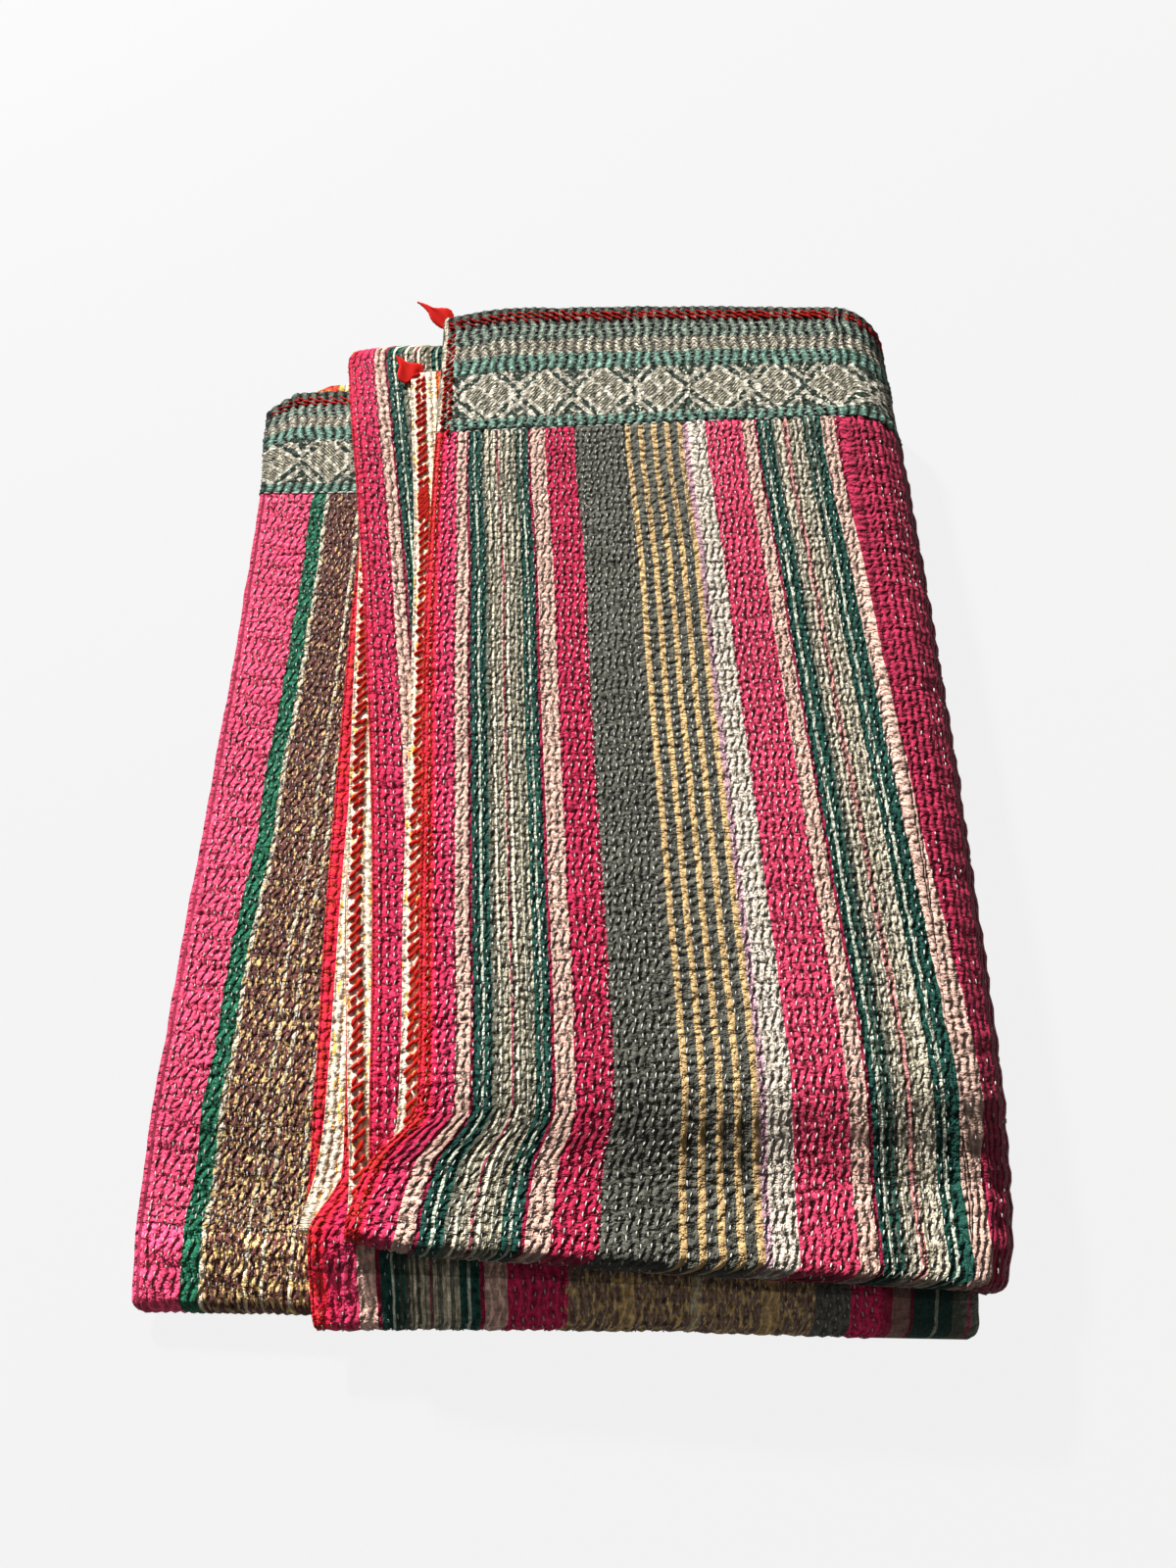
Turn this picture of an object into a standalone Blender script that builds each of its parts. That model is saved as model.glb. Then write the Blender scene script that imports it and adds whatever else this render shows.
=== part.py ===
"""A folded kantha quilt: one layered, running-stitched cloth, doubled across its
width, folded to and fro in four passes along its length and then doubled once
more, so that sixteen leaves lie in the stack.

The cloth is worked out as a sheet.  A place on it is given by where it lies
across the cloth (the turns of ACROSS) and by where it lies along it (a stretch
of LENGTHS and a share of that stretch).  The tables below hold sizes in
millimetres: x runs to the right, y away from the near edge, z up.
"""
import math

import bmesh
import bpy
import numpy as np

MM = 0.001

# The cloth
CLOTH = 1.8            # thickness of the quilted layers
LEAF_PITCH = 4.0       # leaf to leaf at the right-hand fold, where the stack is loose
OPEN_PITCH = 3.4       # leaf to leaf at the left, where the edges lie open
NEAR_PITCH = 3.0       # leaf to leaf at the near folds, which are pressed down
PRESSED_FROM = 116.0   # y where the stack starts to go down to the near folds
PRESSED_TO = 66.0      # y where it is fully down
PUFF = 2.4             # how far the top leaf stands up in its soft waves
FOLD_STRETCH = 1.3     # how far a fold's nose stands out, as a share of its radius
CORNER_STRETCH = 0.6   # how much further the left fold stands out where it is folded again
SETTLE = 36.0          # how far past a near fold the leaf over it takes to come down
EDGE_SETTLE = 90.0     # how far past an open edge the leaf over it takes to come down
FAR_LINE = 505.0       # y from which the far end slopes down
FAR_SETTLE = 75.0      # how far it takes to come down
FAR_DROP = 0.62        # how far down it comes at the left, as a share of the height
NEAR_SETTLE = 40.0     # how far past the outer near folds the rest takes to come down
NOSE_AIR = 0.35        # air left in the lowest near fold, past the fold inside it

# The stitched rows, as low ridges
ROW = 4.0              # row to row
RIDGE = 0.5            # height of the ridge between two rows

# The end borders
BORDER = 0.5           # thickness of a border strip
BORDER_BED = 1.0       # how deep its bed in the quilt is
BORDER_LOW = 0.2       # how far it lies below the face around it
SEAM_GAP = 0.4         # between a border's edge and the quilt's face

# Where the middle of the finished stack is, which becomes the origin
MIDDLE_X = -6.2
MIDDLE_Y = 308.0

# The turns across the cloth, from the top leaf's edge to the edge of the leaf below
# it: along the top, round the right-hand fold, back underneath, round the left-hand
# fold, and the same way back as the second layer.
ACROSS = ("upper_top", "upper_turn", "upper_under", "left_fold",
          "lower_under", "lower_turn", "lower_top")
LEFT_FOLD = (3.0, 4.0)
ACROSS_END = 7.0

# Hems, seams and folds: y at seven places across the cloth.  far_line, near_line and
# slope_line are no folds, only rows that every pass shares.
STATION_AT = (0.0, 1.0, 2.0, 3.0, 4.0, 5.0, 6.0)
STATIONS = {
    #             top_edge right right_under left lower_right_under lower_right lower_edge
    "hem_1":     (597.0, 598.5, 570.0, 515.0, 566.0, 574.0, 557.0),
    "seam_1":    (499.0, 507.0, 490.0, 455.0, 480.0, 478.0, 460.0),
    "far_line":  (440.0, 440.0, 440.0, 440.0, 440.0, 440.0, 440.0),
    "near_line": (66.0, 66.0, 66.0, 66.0, 66.0, 66.0, 66.0),
    "slope_line": (53.0, 32.5, 32.5, 56.0, 54.0, 52.0, 58.0),
    "near_1":    (56.0, 32.5, 33.0, 60.0, 54.0, 48.0, 60.0),
    "far_1":     (568.0, 578.0, 562.0, 506.0, 560.0, 580.0, 580.5),
    "near_2":    (16.5, 12.0, 20.0, 26.5, 35.0, 44.0, 54.0),
    "seam_2":    (466.0, 470.0, 478.0, 479.0, 486.0, 480.0, 470.0),
    "hem_2":     (560.0, 566.0, 574.0, 568.0, 578.0, 574.0, 562.0),
}

# How far some of them bow out of those lines: along the upper layer's top, and on
# both sides of the left-hand fold
BOW_AT = (0.0, 0.045, 0.1, 0.17, 0.55, 1.0, 1.5, 2.0, 2.83, 2.9, 2.955, 3.0,
          3.045, 3.1, 3.17, 3.55, 4.0)
FLAT = (0.0,) * 9
BOWS = {
    "hem_1":  (0.0, 2.5, 5.0, 7.0, 4.5, -3.0, -2.0, 0.0, *FLAT),
    "near_1": (-2.0, -3.5, -5.0, -5.0, -3.0, 1.5, 0.5, 0.0, *FLAT),
    "near_2": (2.0, 2.0, 2.5, 3.0, 4.0, 2.0, 0.5, 0.0, *FLAT),
    "hem_2":  (0.0, 0.0, 0.0, 0.0, 0.0, 0.0, 0.0, 0.0, 0.0, 2.0, 3.0, -13.0,
               2.0, 12.0, 12.0, 4.0, 0.0),
}

# Stretches along the cloth: what each is, the stations at its ends, and its leaf
# numbers in the upper and the lower layer.  Leaf 0 is outermost, 7 innermost.
LENGTHS = (
    # kind, from, to, upper leaf, lower leaf, next upper leaf, next lower leaf
    ("run", "hem_1", "seam_1", 0, 1, 0, 1),
    ("run", "seam_1", "far_line", 0, 1, 0, 1),
    ("run", "far_line", "near_line", 0, 1, 0, 1),
    ("run", "near_line", "near_1", 0, 1, 0, 1),
    ("near", "near_1", "near_1", 0, 1, 3, 2),
    ("run", "near_1", "near_line", 3, 2, 3, 2),
    ("run", "near_line", "far_line", 3, 2, 3, 2),
    ("run", "far_line", "far_1", 3, 2, 3, 2),
    ("far", "far_1", "far_1", 3, 2, 4, 5),
    ("run", "far_1", "far_line", 4, 5, 4, 5),
    ("run", "far_line", "near_line", 4, 5, 4, 5),
    ("run", "near_line", "slope_line", 4, 5, 4, 5),
    ("run", "slope_line", "near_2", 4, 5, 4, 5),
    ("near", "near_2", "near_2", 4, 5, 7, 6),
    ("run", "near_2", "slope_line", 7, 6, 7, 6),
    ("run", "slope_line", "near_line", 7, 6, 7, 6),
    ("run", "near_line", "far_line", 7, 6, 7, 6),
    ("run", "far_line", "seam_2", 7, 6, 7, 6),
    ("run", "seam_2", "hem_2", 7, 6, 7, 6),
)

# Each leaf's open edge at the left of the top half: x at seven distances y
EDGE_AT = (12.0, 50.0, 78.0, 103.0, 215.0, 400.0, 575.0)
OPEN_EDGES = (
    #  nose    skew   skew  crease  near   middle  far
    (-110.0, -108.0, -100.0, -78.0, -83.0, -91.0, -92.0),
    (-96.0, -94.0, -91.0, -87.0, -92.0, -99.0, -113.0),
    (-98.0, -98.0, -100.0, -101.0, -108.5, -129.0, -154.5),
    (-110.0, -108.5, -109.5, -111.5, -122.0, -132.0, -140.0),
    (-124.0, -126.5, -113.0, -113.5, -123.0, -130.0, -138.0),
    (-131.0, -131.5, -126.0, -123.5, -126.0, -128.0, -134.0),
    (-131.0, -130.0, -129.7, -130.0, -134.0, -136.5, -134.0),
    (-122.0, -122.0, -122.0, -122.0, -124.0, -126.0, -126.0),
)

# The left-hand fold of each pass, under the open edges: x of the fold
LEFT_FOLDS = {0: -195.0, 1: -195.0, 2: -198.0, 3: -198.0,
              4: -201.0, 5: -201.0, 6: -207.0, 7: -207.0}

# Past this x the left-hand folds are drawn in: what is left of that part at four
# distances y
DRAWN_TO = -195.0
DRAWN_AT = (95.0, 440.0, 475.0, 560.0)
DRAWN_IN = (1.0, 0.44, 0.44, 1.0)

# The right-hand fold: x of its outside at six distances y
RIGHT_AT = (12.0, 66.0, 116.0, 290.0, 440.0, 603.0)
RIGHT_FOLD = (183.0, 195.0, 196.0, 197.0, 195.0, 188.0)

# The two red corner tabs: where the root is, which way it points, how big
TABS = (
    # name, x, y, z, turn in degrees, length, width, rise
    ("corner_tab_top", -92.7, 597.9, 52.3, 146.0, 20.0, 11.0, 4.0),
    ("corner_tab_second", -112.4, 557.6, 47.2, 128.0, 14.0, 11.0, 3.0),
)
TAB_THICK = 1.8

COLOURS = {
    # base colour, roughness
    "quilt": ((0.52, 0.10, 0.17, 1.0), 0.9),
    "border_top": ((0.30, 0.42, 0.36, 1.0), 0.88),
    "border_low": ((0.30, 0.42, 0.36, 1.0), 0.88),
    "corner_tab_top": ((0.75, 0.02, 0.01, 1.0), 0.85),
    "corner_tab_second": ((0.75, 0.02, 0.01, 1.0), 0.85),
}


def ease(share):
    """0 to 1 with a level start and finish."""
    share = np.clip(share, 0.0, 1.0)
    return share * share * (3.0 - 2.0 * share)


def ramp(distance, length):
    """0 to 1 over a length."""
    return np.clip(distance / length, 0.0, 1.0)


def pitch(x, y):
    """Leaf to leaf distance at a place in the stack."""
    loose = OPEN_PITCH + (LEAF_PITCH - OPEN_PITCH) * np.clip((x + 210.0) / 370.0, 0.0, 1.0)
    return NEAR_PITCH + (loose - NEAR_PITCH) * ramp(y - PRESSED_TO, PRESSED_FROM - PRESSED_TO)


def top_waves(x, y):
    """How far the top leaf stands up from the leaf under it in soft waves."""
    waves = 0.5 + 0.3 * np.sin(x / 47.0 + 0.6) * np.sin(y / 61.0 + 1.1) + 0.2 * np.sin(x / 71.0 - y / 43.0)
    return PUFF * waves * ease((y - PRESSED_TO) / (PRESSED_FROM - PRESSED_TO))


def held_up(leaf, x, y, below):
    """How much a leaf still holds up what lies over it: 1 over the leaf, less past it."""
    share = np.ones_like(y)
    if not below:
        share = ramp(x - np.interp(y, EDGE_AT, OPEN_EDGES[leaf]) + EDGE_SETTLE, EDGE_SETTLE)
    if leaf < 4:
        fold = 32.5 + 0.064 * (160.0 - x) if below else 53.0 - 0.0765 * (x + 108.0)
        share = share * ramp(y - fold + NEAR_SETTLE, NEAR_SETTLE)
    elif leaf in (5, 6):
        fold = 20.0 + 0.034 * (x + 207.0) if below else 53.0 - 0.0765 * (x + 108.0)
        share = share * (NOSE_AIR + (1.0 - NOSE_AIR) * ramp(y - fold + SETTLE, SETTLE))
    if below and leaf < 6:
        drop = FAR_DROP * ramp(160.0 - x, 367.0) ** 3
        share = share * (1.0 - drop * ramp(y - FAR_LINE, FAR_SETTLE))
    return share


def under_heights(x, y):
    """Heights of the middles of the eight leaves of the lower half of the stack."""
    step = pitch(x, y)
    heights = [np.full_like(x, CLOTH / 2)]
    for leaf in range(7):
        heights.append(heights[-1] + step * held_up(leaf, x, y, True))
    return heights


def top_heights(x, y):
    """Heights of the middles of the eight leaves of the upper half, leaf 0 on top."""
    step = pitch(x, y)
    lowest = under_heights(x, y)[-1] + step * held_up(7, x, y, True)
    heights = [lowest]
    for leaf in range(7, 0, -1):
        heights.append(heights[-1] + step * held_up(leaf, x, y, False))
    return heights[::-1]


def at_leaf(heights, leaf):
    """Height at a leaf number that may lie between two leaves, as in a fold."""
    stacked = np.stack(heights)
    low = np.clip(np.floor(leaf).astype(int), 0, 6)
    part = leaf - low
    place = np.arange(len(leaf))
    return stacked[low, place] * (1.0 - part) + stacked[low + 1, place] * part


def layer_place(across, length, share, lower):
    """(y, leaf number, turn) of one layer: turn goes from 0 to 1 in a fold."""
    kind, start, end, upper_leaf, lower_leaf, next_upper, next_lower = LENGTHS[length]
    first, last = (lower_leaf, next_lower) if lower else (upper_leaf, next_upper)
    run = across - np.clip(across - LEFT_FOLD[0], 0.0, 1.0)
    begin, finish = (np.interp(run, STATION_AT, STATIONS[station]) for station in (start, end))
    if start in BOWS:
        begin = begin + np.interp(run, BOW_AT, BOWS[start])
    if end in BOWS:
        finish = finish + np.interp(run, BOW_AT, BOWS[end])
    if kind == "run":
        return begin + (finish - begin) * share, np.full_like(across, first), 0.0
    turn = math.pi * share
    middle, radius = (first + last) / 2, abs(last - first) / 2
    step = pitch(np.full_like(across, 60.0), begin)
    nose = radius * step * FOLD_STRETCH * math.sin(turn)
    leaf = np.full_like(across, middle - radius * math.cos(turn))
    return begin + (nose if kind == "far" else -nose), leaf, (1.0 - math.cos(turn)) / 2


def open_edge(length, y, turn, lower):
    """x of the open edge of the layer."""
    _, _, _, upper_leaf, lower_leaf, next_upper, next_lower = LENGTHS[length]
    first, last = (lower_leaf, next_lower) if lower else (upper_leaf, next_upper)
    here = np.interp(y, EDGE_AT, OPEN_EDGES[first])
    return here + (np.interp(y, EDGE_AT, OPEN_EDGES[last]) - here) * turn


def cloth_middle(across, length, share):
    """Points in the middle of the cloth's thickness."""
    upper = layer_place(across, length, share, False)
    lower = layer_place(across, length, share, True)
    swap = (1.0 - np.cos(math.pi * np.clip(across - LEFT_FOLD[0], 0.0, 1.0))) / 2
    y = upper[0] + (lower[0] - upper[0]) * swap
    leaf = upper[1] + (lower[1] - upper[1]) * swap
    turn = upper[2]
    is_lower = across > 3.5

    centre_guess = np.full_like(y, 160.0)
    outer = (top_heights(centre_guess, y)[0] - CLOTH / 2) / 2
    turn_x = np.interp(y, RIGHT_AT, RIGHT_FOLD) - outer - CLOTH / 2
    edge = np.where(is_lower, open_edge(length, y, turn, True), open_edge(length, y, turn, False))
    _, _, _, first_leaf, _, last_leaf, _ = LENGTHS[length]
    left = LEFT_FOLDS[first_leaf] + (LEFT_FOLDS[last_leaf] - LEFT_FOLDS[first_leaf]) * turn
    left = DRAWN_TO + (left - DRAWN_TO) * np.interp(y, DRAWN_AT, DRAWN_IN)

    on_top = np.where(is_lower, ACROSS_END - across, across)        # 0 at the edge, 1 at the turn
    round_turn = np.clip(on_top - 1.0, 0.0, 1.0)
    beneath = np.clip(on_top - 2.0, 0.0, 1.0)
    x = edge + (turn_x - edge) * np.clip(on_top, 0.0, 1.0)
    x = np.where(on_top > 2.0, turn_x + (left - turn_x) * beneath, x)
    flat_x = x.copy()
    top = at_leaf(top_heights(flat_x, y), leaf)
    under = at_leaf(under_heights(flat_x, y), leaf)
    turning = (on_top >= 1.0) & (on_top <= 2.0)
    middle, radius = (top + under) / 2, (top - under) / 2
    z = np.where(on_top < 1.0, top, under)
    x = np.where(turning, flat_x + radius * np.sin(math.pi * round_turn), x)
    z = np.where(turning, middle + radius * np.cos(math.pi * round_turn), z)
    if first_leaf == last_leaf == 0:
        z = z + np.where(is_lower, 0.0, top_waves(flat_x, y) * (1.0 - round_turn) ** 2)
    in_left = (across > LEFT_FOLD[0]) & (across < LEFT_FOLD[1])
    bulge = 0.0 if LENGTHS[length][0] == "run" else math.sin(math.pi * share)
    half = pitch(flat_x, y) / 2 * (1.0 + CORNER_STRETCH * bulge)
    x = np.where(in_left, left - half * np.sin(math.pi * (across - LEFT_FOLD[0])), x)
    return np.stack([x, y, z], axis=1)


def cloth_face(across, length, share, lift, ridges=0.0):
    """Points of the cloth at a lift over its middle, on the patched side.

    The ridges are added where that side looks up or sideways.
    """
    step_across, step_share = 2e-3, 1e-3
    here = cloth_middle(across, length, share)
    side = cloth_middle(np.clip(across + step_across, 0.0, ACROSS_END), length, share)
    side = side - cloth_middle(np.clip(across - step_across, 0.0, ACROSS_END), length, share)
    ahead = cloth_middle(across, length, min(share + step_share, 1.0))
    ahead = ahead - cloth_middle(across, length, max(share - step_share, 0.0))
    outward = np.cross(ahead, side)
    outward /= np.linalg.norm(outward, axis=1)[:, None]
    shows = np.clip(outward[:, 2] * 2.0 + 0.8, 0.0, 1.0)
    return here + outward * (lift + ridges * shows)[:, None]


TURN_STEPS = 6                                   # steps round the right-hand fold
LEFT_STEPS = 6                                   # steps round the left-hand fold
FLAT_STEPS = [0.0, 0.045, 0.1, 0.17, 0.55]       # steps from an edge or the left to the turn
ROWS_LEFT = 20                                   # rows that show by the left-hand fold
ROWS_EDGE = 11                                   # rows that show by the lower layer's edge
ROWS_TURN = 9                                    # rows that show round the right-hand fold


def spaced(first, last, count):
    """Even steps from first up to, but not including, last."""
    return list(np.linspace(first, last, count, endpoint=False))


def top_width(length, share, lower):
    """Width of the part of a layer that lies on top, from its edge to the turn."""
    side = ACROSS_END if lower else 0.0
    inner = ACROSS_END - 1.0 if lower else 1.0
    ends = cloth_middle(np.array([side, inner]), length, share)
    return float(abs(ends[1, 0] - ends[0, 0]))


def places_across(length, share, detail):
    """Places across the cloth for one ring, with the ridge height at each.

    detail names the stretches that show, where the stitched rows are raised.
    """
    places, ridges = [], []

    def add(values, ridge=False):
        for count, value in enumerate(values):
            places.append(value)
            ridges.append(RIDGE if ridge and count % 2 else 0.0)

    if "upper_top" in detail:
        rows = int(round(top_width(length, share, False) / ROW))
        add(spaced(0.0, 1.0, 2 * rows), True)
        add(spaced(1.0, 1.5, 2 * ROWS_TURN), True)
        add(spaced(1.5, 2.0, TURN_STEPS // 2))
    elif "upper_plain" in detail:
        add([0.0, 0.045] + spaced(0.1, 1.0, 14))
        add(spaced(1.0, 2.0, TURN_STEPS))
    else:
        add(FLAT_STEPS)
        add(spaced(1.0, 2.0, TURN_STEPS))
    if "left" in detail:
        add([2.0, 2.45])
        add(spaced(2.78, 3.0, 2 * ROWS_LEFT), True)
    else:
        add([2.0] + [3.0 - place for place in FLAT_STEPS[:0:-1]])
    add(spaced(3.0, 4.0, LEFT_STEPS))
    add([4.0 + place for place in FLAT_STEPS])
    add(spaced(5.0, 6.0, TURN_STEPS))
    if "lower_edge" in detail:
        add([6.0, 6.45])
        add(spaced(6.84, 7.0, 2 * ROWS_EDGE), True)
    else:
        add([6.0] + [7.0 - place for place in FLAT_STEPS[:0:-1]])
    add([ACROSS_END])
    return np.array(places), np.array(ridges)


def plain_places():
    """Places across for the reverse side, which shows only at its edges."""
    places = FLAT_STEPS + spaced(1.0, 2.0, TURN_STEPS) + [2.0]
    places += [3.0 - place for place in FLAT_STEPS[:0:-1]]
    places += spaced(3.0, 4.0, LEFT_STEPS) + [4.0 + place for place in FLAT_STEPS]
    places += spaced(5.0, 6.0, TURN_STEPS) + [6.0]
    places += [7.0 - place for place in FLAT_STEPS[:0:-1]] + [ACROSS_END]
    return np.array(places)


def zip_rows(first, first_at, second, second_at):
    """Faces between two rows of points, matched by their places along the rows."""
    faces, i, j = [], 0, 0
    while i < len(first) - 1 or j < len(second) - 1:
        next_i = first_at[i + 1] if i < len(first) - 1 else math.inf
        next_j = second_at[j + 1] if j < len(second) - 1 else math.inf
        if abs(next_i - next_j) < 1e-9:
            faces.append((first[i], first[i + 1], second[j + 1], second[j]))
            i, j = i + 1, j + 1
        elif next_i < next_j:
            faces.append((first[i], first[i + 1], second[j]))
            i += 1
        else:
            faces.append((first[i], second[j + 1], second[j]))
            j += 1
    return faces


# The rings of the quilt along its length: stretch, shares of it, and what shows there
RINGS = (
    (0, (0.0, 0.33, 0.66, 0.995), ("bed",)),
    (1, (0.005,), ("upper_top",)),
    (2, (0.0, 0.3, 0.6, 0.866), ("upper_top",)),
    (3, (0.0,), ("upper_top",)),
    (4, (0.0, 0.25), ("upper_top",)),
    (4, (0.5, 0.75), ("upper_plain",)),
    (5, (0.0,), ("lower_edge",)),
    (6, (0.0, 0.134, 0.6), ("lower_edge",)),
    (7, (0.0, 0.48), ()),
    (8, (0.0, 0.33, 0.67), ()),
    (9, (0.0, 0.52), ()),
    (10, (0.0, 0.4, 0.866), ()),
    (11, (0.0, 0.5), ()),
    (12, (0.0, 0.35), ("upper_plain",)),
    (12, (0.7,), ("upper_top",)),
    (13, (0.0, 0.25), ("upper_top", "left")),
    (13, (0.5, 0.75), ("upper_plain", "left")),
    (14, (0.0, 0.5), ("left",)),
    (15, (0.0,), ("left",)),
    (16, (0.0, 0.134, 0.6), ("left",)),
    (17, (0.0, 0.99), ("left",)),
    (18, (0.005, 0.35, 0.67, 1.0), ("bed",)),
)


def quilt_mesh():
    """The closed solid of the whole quilt."""
    mesh = bmesh.new()
    rings = []
    for length, shares, detail in RINGS:
        bed = BORDER_BED if "bed" in detail else 0.0
        for share in shares:
            across, ridges = places_across(length, share, detail)
            front = cloth_face(across, length, share, CLOTH / 2 - bed, ridges)
            back_across = plain_places()
            back = cloth_face(back_across, length, share, -CLOTH / 2)
            rings.append((add_points(mesh, front), across, add_points(mesh, back), back_across))
    faces = []
    for (front, across, back, back_across), nearer in zip(rings, rings[1:]):
        next_front, next_across, next_back, next_back_across = nearer
        faces += zip_rows(front, across, next_front, next_across)
        faces += [face[::-1] for face in zip_rows(back, back_across, next_back, next_back_across)]
        faces.append((back[0], front[0], next_front[0], next_back[0]))
        faces.append((front[-1], back[-1], next_back[-1], next_front[-1]))
    first, last = rings[0], rings[-1]
    faces += zip_rows(first[2], first[3], first[0], first[1])
    faces += [face[::-1] for face in zip_rows(last[2], last[3], last[0], last[1])]
    for face in faces:
        mesh.faces.new(face)
    return mesh


def border_mesh(length, shares):
    """A border strip lying in its bed, right across the cloth."""
    mesh = bmesh.new()
    across = plain_places()
    outer_lift = CLOTH / 2 - BORDER_LOW
    rings = []
    for share in shares:
        outer = add_points(mesh, cloth_face(across, length, share, outer_lift))
        inner = add_points(mesh, cloth_face(across, length, share, outer_lift - BORDER))
        rings.append(outer + inner[::-1])
    for ring, nearer in zip(rings, rings[1:]):
        count = len(ring)
        for i in range(count):
            j = (i + 1) % count
            mesh.faces.new((ring[i], ring[j], nearer[j], nearer[i]))
    half = len(across)
    for ring, flip in ((rings[0], True), (rings[-1], False)):
        for i in range(half - 1):
            face = (ring[i], ring[i + 1], ring[2 * half - 2 - i], ring[2 * half - 1 - i])
            mesh.faces.new(face[::-1] if flip else face)
    return mesh


def tab_mesh(x, y, z, turn, length, width, rise):
    """A small folded cloth tab that narrows to a point, its root by the quilt's corner."""
    mesh = bmesh.new()
    steps, sides = 9, 10
    heading = math.radians(turn)
    ahead = np.array([math.cos(heading), math.sin(heading), 0.0])
    beside = np.array([-math.sin(heading), math.cos(heading), 0.0])
    rings = []
    for step in range(steps):
        share = step / (steps - 1)
        wide = width / 2 * (0.62 + 0.55 * math.sin(math.pi * min(share * 1.7, 1.0))) * (1 - share) ** 0.8
        wide = max(wide, 0.5)
        thick = TAB_THICK / 2 * (1.0 - 0.55 * share)
        lift = rise * math.sin(math.pi * 0.5 * share)
        centre = np.array([x, y, z + lift]) + ahead * length * share
        ring = []
        for side in range(sides):
            angle = 2 * math.pi * side / sides
            ring.append(centre + beside * wide * math.cos(angle)
                        + np.array([0.0, 0.0, thick * math.sin(angle)]))
        rings.append(add_points(mesh, np.array(ring)))
    for ring, further in zip(rings, rings[1:]):
        for i in range(sides):
            j = (i + 1) % sides
            mesh.faces.new((ring[i], ring[j], further[j], further[i]))
    mesh.faces.new(rings[0][::-1])
    mesh.faces.new(rings[-1])
    return mesh


def add_points(mesh, points):
    """New points in metres, with the middle of the stack at the origin."""
    shift = np.array([MIDDLE_X, MIDDLE_Y, 0.0])
    return [mesh.verts.new(point) for point in (points - shift) * MM]


def finish_object(name, mesh):
    """Turn a worked mesh into a named object with its own material."""
    bmesh.ops.triangulate(mesh, faces=mesh.faces[:])
    bmesh.ops.recalc_face_normals(mesh, faces=mesh.faces[:])
    data = bpy.data.meshes.new(name)
    mesh.to_mesh(data)
    mesh.free()
    data.shade_smooth()
    colour, roughness = COLOURS[name]
    material = bpy.data.materials.new(name)
    material.use_nodes = True
    shader = material.node_tree.nodes["Principled BSDF"]
    shader.inputs["Base Color"].default_value = colour
    shader.inputs["Roughness"].default_value = roughness
    shader.inputs["Metallic"].default_value = 0.0
    data.materials.append(material)
    item = bpy.data.objects.new(name, data)
    bpy.context.collection.objects.link(item)
    return item


def main():
    for item in list(bpy.data.objects):
        bpy.data.objects.remove(item, do_unlink=True)
    finish_object("quilt", quilt_mesh())
    span_1 = STATIONS["hem_1"][0] - STATIONS["seam_1"][0]
    span_2 = STATIONS["hem_2"][3] - STATIONS["seam_2"][3]
    near_seam_1 = 0.995 - 1.5 * SEAM_GAP / span_1
    near_seam_2 = 0.005 + 1.5 * SEAM_GAP / span_2
    finish_object("border_top", border_mesh(0, (0.0, 0.33, 0.66, near_seam_1)))
    finish_object("border_low", border_mesh(18, (near_seam_2, 0.35, 0.67, 1.0)))
    for name, *sizes in TABS:
        finish_object(name, tab_mesh(*sizes))


main()
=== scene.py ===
"""A folded kantha quilt: striped cottons patched together, quilted through with rows
of running stitches and folded to and fro, so that sixteen leaves lie in the stack.

A place on the cloth is given by where it lies across (turns 0 to 7) and by where it
lies along the cloth (a stretch of LENGTHS and a share of it).  The tables hold
millimetres: x to the right, y away from the near edge, z up.
"""
import math

import bpy
import numpy as np
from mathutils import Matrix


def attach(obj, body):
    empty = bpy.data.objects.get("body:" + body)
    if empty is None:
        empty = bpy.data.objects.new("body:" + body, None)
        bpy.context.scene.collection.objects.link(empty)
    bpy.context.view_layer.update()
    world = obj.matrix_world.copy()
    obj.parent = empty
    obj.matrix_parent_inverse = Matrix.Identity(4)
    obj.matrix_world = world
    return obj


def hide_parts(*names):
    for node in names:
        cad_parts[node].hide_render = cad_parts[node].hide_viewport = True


bl_info = {
    "name": "Folded kantha quilt",
    "version": (1, 0, 0),
    "blender": (4, 5, 0),
    "location": "3D View > Sidebar > Quilt",
    "description": "A folded, running-stitched quilt of patched striped cottons",
    "category": "Object",
}

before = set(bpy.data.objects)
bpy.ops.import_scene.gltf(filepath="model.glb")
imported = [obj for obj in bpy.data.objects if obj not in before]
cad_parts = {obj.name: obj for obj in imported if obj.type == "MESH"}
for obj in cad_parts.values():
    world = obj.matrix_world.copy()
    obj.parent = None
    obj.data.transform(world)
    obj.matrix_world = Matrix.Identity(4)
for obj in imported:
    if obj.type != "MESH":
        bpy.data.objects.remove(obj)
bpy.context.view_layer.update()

MM = 0.001

# The cloth and how its leaves lie
CLOTH = 1.8            # thickness of the quilted layers
LEAF_PITCH = 4.0       # leaf to leaf at the right-hand fold
OPEN_PITCH = 3.4       # leaf to leaf at the left, where the edges lie open
NEAR_PITCH = 3.0       # leaf to leaf at the near folds
PRESSED_FROM = 116.0   # y where the stack starts to go down to the near folds
PRESSED_TO = 66.0      # y where it is fully down
PUFF = 2.4             # how far the top leaf stands up in its soft waves
FOLD_STRETCH = 1.3     # how far a fold's nose stands out, as a share of its radius
CORNER_STRETCH = 0.6   # how much further the left fold stands out where it is folded again
SETTLE = 36.0          # how far past a near fold the leaf over it takes to come down
EDGE_SETTLE = 90.0     # how far past an open edge the leaf over it takes to come down
FAR_LINE = 505.0       # y from which the far end slopes down
FAR_SETTLE = 75.0      # how far it takes to come down
FAR_DROP = 0.62        # how far down it comes at the left
NEAR_SETTLE = 40.0     # how far past the outer near folds the rest takes to come down
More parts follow.
